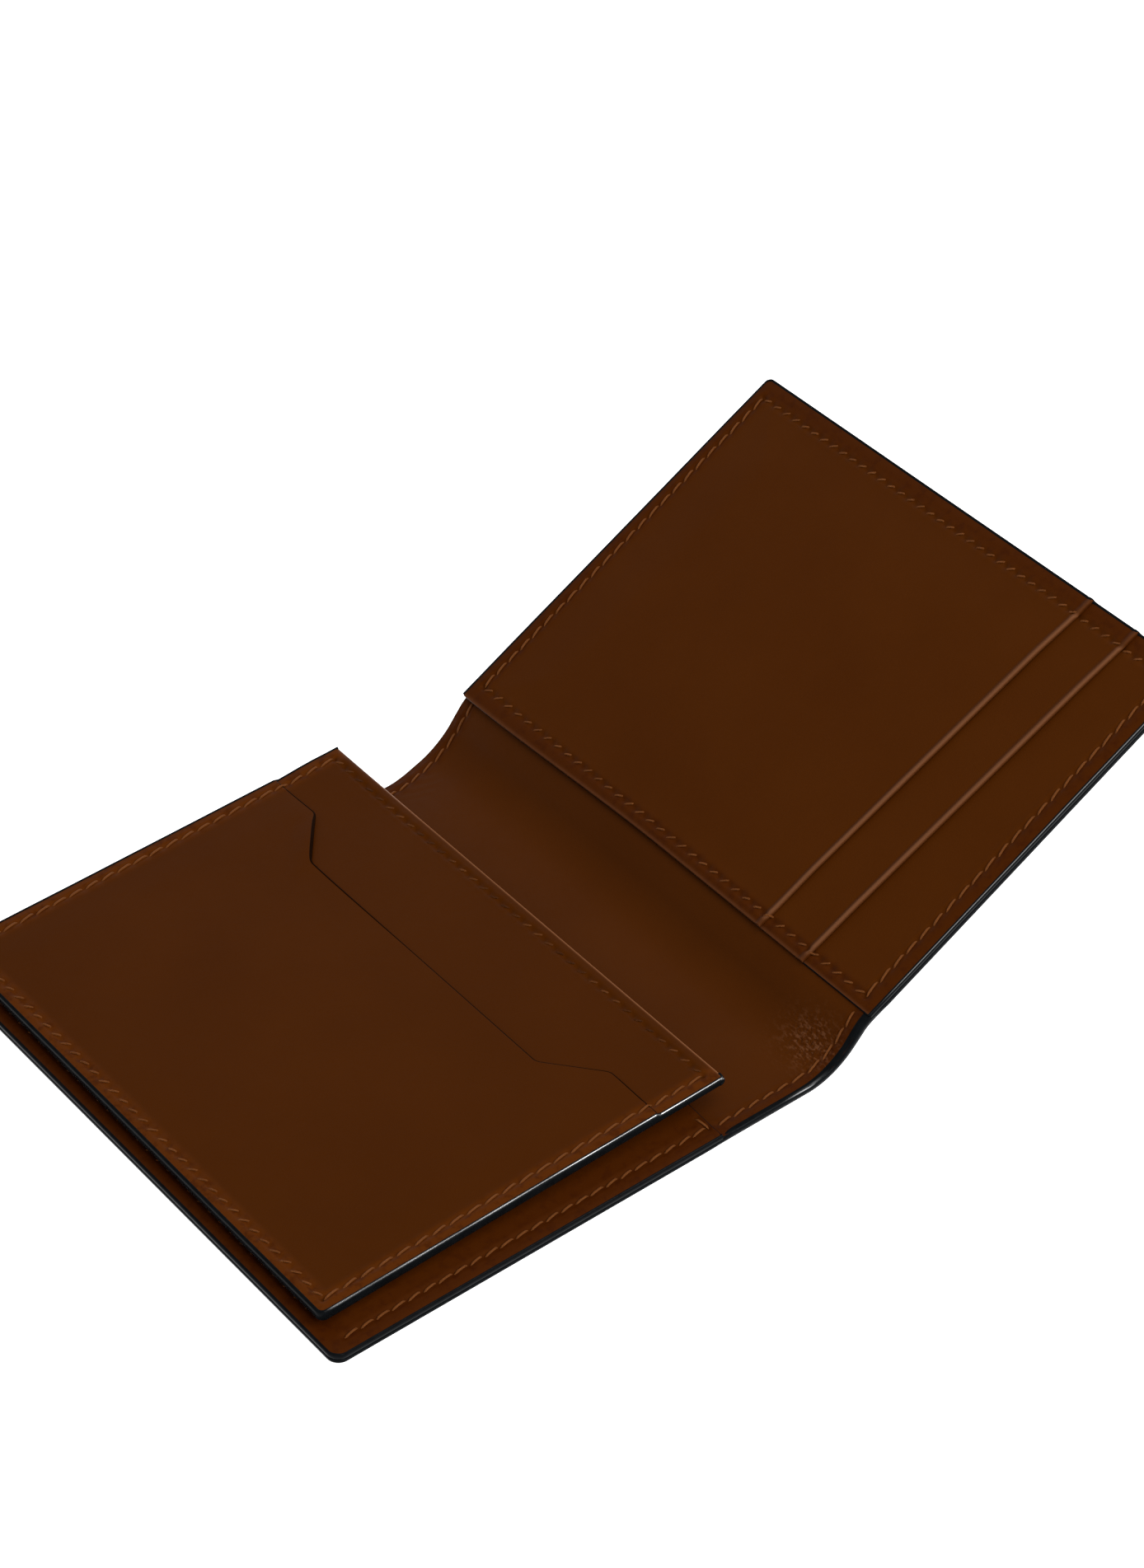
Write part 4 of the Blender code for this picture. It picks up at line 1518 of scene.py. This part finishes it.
    def build_tongue(self) -> None:
        """Build the tongue: a tab under the holder, a bend and a leaf in the slip pocket."""
        tab_low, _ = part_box("holder_tongue_tab")
        leaf_low, leaf_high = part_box("holder_tongue_leaf")
        _, fold_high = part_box("holder_tongue_fold")
        thickness = (leaf_high.z - leaf_low.z) / MM
        radius = (fold_high.z - leaf_low.z) / MM / 2
        tab = (leaf_high.x - tab_low.x) / MM
        leaf = (leaf_high.x - leaf_low.x) / MM
        length = (leaf_high.y - leaf_low.y) / MM
        x0, z0 = leaf_high.x / MM + 0.2, fold_high.z / MM
        start = Plane(x0 - (tab + 0.2) * math.cos(self.slope), leaf_low.y / MM,
                      z0 - (tab + 0.2) * math.sin(self.slope))
        half, lifted = math.pi * radius, math.degrees(self.slope)
        runs = ((tab + 0.2, 0.0), (half, -180.0 - lifted), (leaf + 0.2, 0.0))
        line = Bend(start, runs, lifted)
        across = np.concatenate(
            (
                np.linspace(0.0, tab, 8),
                tab + 0.2 + np.linspace(0.0, half, 20),
                spaced(tab + 0.2 + half + 1.0, tab + 0.4 + half + leaf, 3.0, 0.8, 4.0),
            )
        )
        panel = Panel(
            "holder_tongue_skin", across, spaced(0.0, length, 3.0, 0.6, 3.0), base=-thickness,
            thickness=thickness, placing=line,
            materials=(self.palette.holder, self.palette.paint), corners=(0.0, 3.5, 3.5, 0.0), rounded=0.14,
            relief=lambda x, y: unevenness(x, y, 0.02, 5.0),
        )
        stands_for = ("holder_tongue_leaf", "holder_tongue_fold", "holder_tongue_tab")
        fit(panel.build(), "card_holder", "brown_leather", *stands_for)


# --- Studio ---


def towards(azimuth: float, elevation: float) -> Vector:
    """Return the direction of a viewer at these angles, with azimuth from -Y towards +X."""
    a, e = math.radians(azimuth), math.radians(elevation)
    return Vector((math.sin(a) * math.cos(e), -math.cos(a) * math.cos(e), math.sin(e)))


@dataclass(frozen=True)
class Softbox:
    """A square soft light that looks at a point."""

    name: str
    azimuth: float
    elevation: float
    distance: float
    size: float
    power: float
    colour: Colour = (1.0, 1.0, 1.0)

    def build(self, target: Vector) -> None:
        """Place the light."""
        light = bpy.data.lights.new(self.name, "AREA")
        light.shape = "SQUARE"
        light.size = self.size
        light.energy = self.power
        light.color = self.colour
        lamp = bpy.data.objects.new(self.name, light)
        bpy.context.scene.collection.objects.link(lamp)
        back = towards(self.azimuth, self.elevation)
        lamp.location = target + back * self.distance
        lamp.rotation_mode = "QUATERNION"
        lamp.rotation_quaternion = back.to_track_quat("Z", "Y")


@dataclass(frozen=True)
class Studio:
    """Pale floor, soft lights and the camera."""

    target: tuple[float, float, float] = (0.02894, 0.03426, 0.0)
    azimuth: float = -38.6
    elevation: float = 40.32
    roll: float = 0.12
    distance: float = 0.85783
    lens: float = 94.367
    world: float = 0.72
    lights: tuple[Softbox, ...] = (
        Softbox("key_softbox", 10.0, 72.0, 1.5, 0.9, 8.0),
        Softbox("rim_softbox", 37.0, 38.0, 1.4, 0.45, 8.0),
        Softbox("edge_softbox", -9.0, 38.0, 1.4, 0.45, 7.0),
    )

    def build(self) -> None:
        """Build floor, lights, world and camera."""
        bm = bmesh.new()
        bmesh.ops.create_grid(bm, x_segments=8, y_segments=8, size=4.0)
        bmesh.ops.translate(bm, verts=bm.verts, vec=(0.0, 0.0, -0.0002))
        floor = write_mesh("studio_floor", bm, (TableFinish().build(),))
        world = bpy.data.worlds.new("studio_world")
        world.use_nodes = True
        background = world.node_tree.nodes["Background"]
        background.inputs["Color"].default_value = (1.0, 1.0, 1.0, 1.0)
        background.inputs["Strength"].default_value = self.world
        scene = bpy.context.scene
        scene.world = world
        scene.view_settings.view_transform = "Standard"
        target = Vector(self.target)
        for light in self.lights:
            light.build(target)
        data = bpy.data.cameras.new("studio_camera")
        data.lens = self.lens
        data.sensor_width = 36.0
        data.clip_start, data.clip_end = 0.01, 20.0
        camera = bpy.data.objects.new("studio_camera", data)
        scene.collection.objects.link(camera)
        back = towards(self.azimuth, self.elevation)
        right = towards(self.azimuth + 90.0, 0.0)
        up = back.cross(right)
        c, s = math.cos(math.radians(self.roll)), math.sin(math.radians(self.roll))
        right, up = right * c + up * s, up * c - right * s
        camera.rotation_mode = "QUATERNION"
        camera.rotation_quaternion = Matrix((right, up, back)).transposed().to_quaternion()
        camera.location = target + back * self.distance
        scene.camera = camera


def main() -> None:
    """Build the wallet in order, then the studio."""
    logging.basicConfig(level=logging.INFO, format="%(message)s")
    palette = Palette()
    covers = Covers(palette)
    covers.build()
    SlipPocket(palette, covers).build()
    CardPanel(palette, covers).build()
    Holder(palette, covers).build()
    Studio().build()
    bpy.context.view_layer.update()


if __name__ == "__main__":
    main()
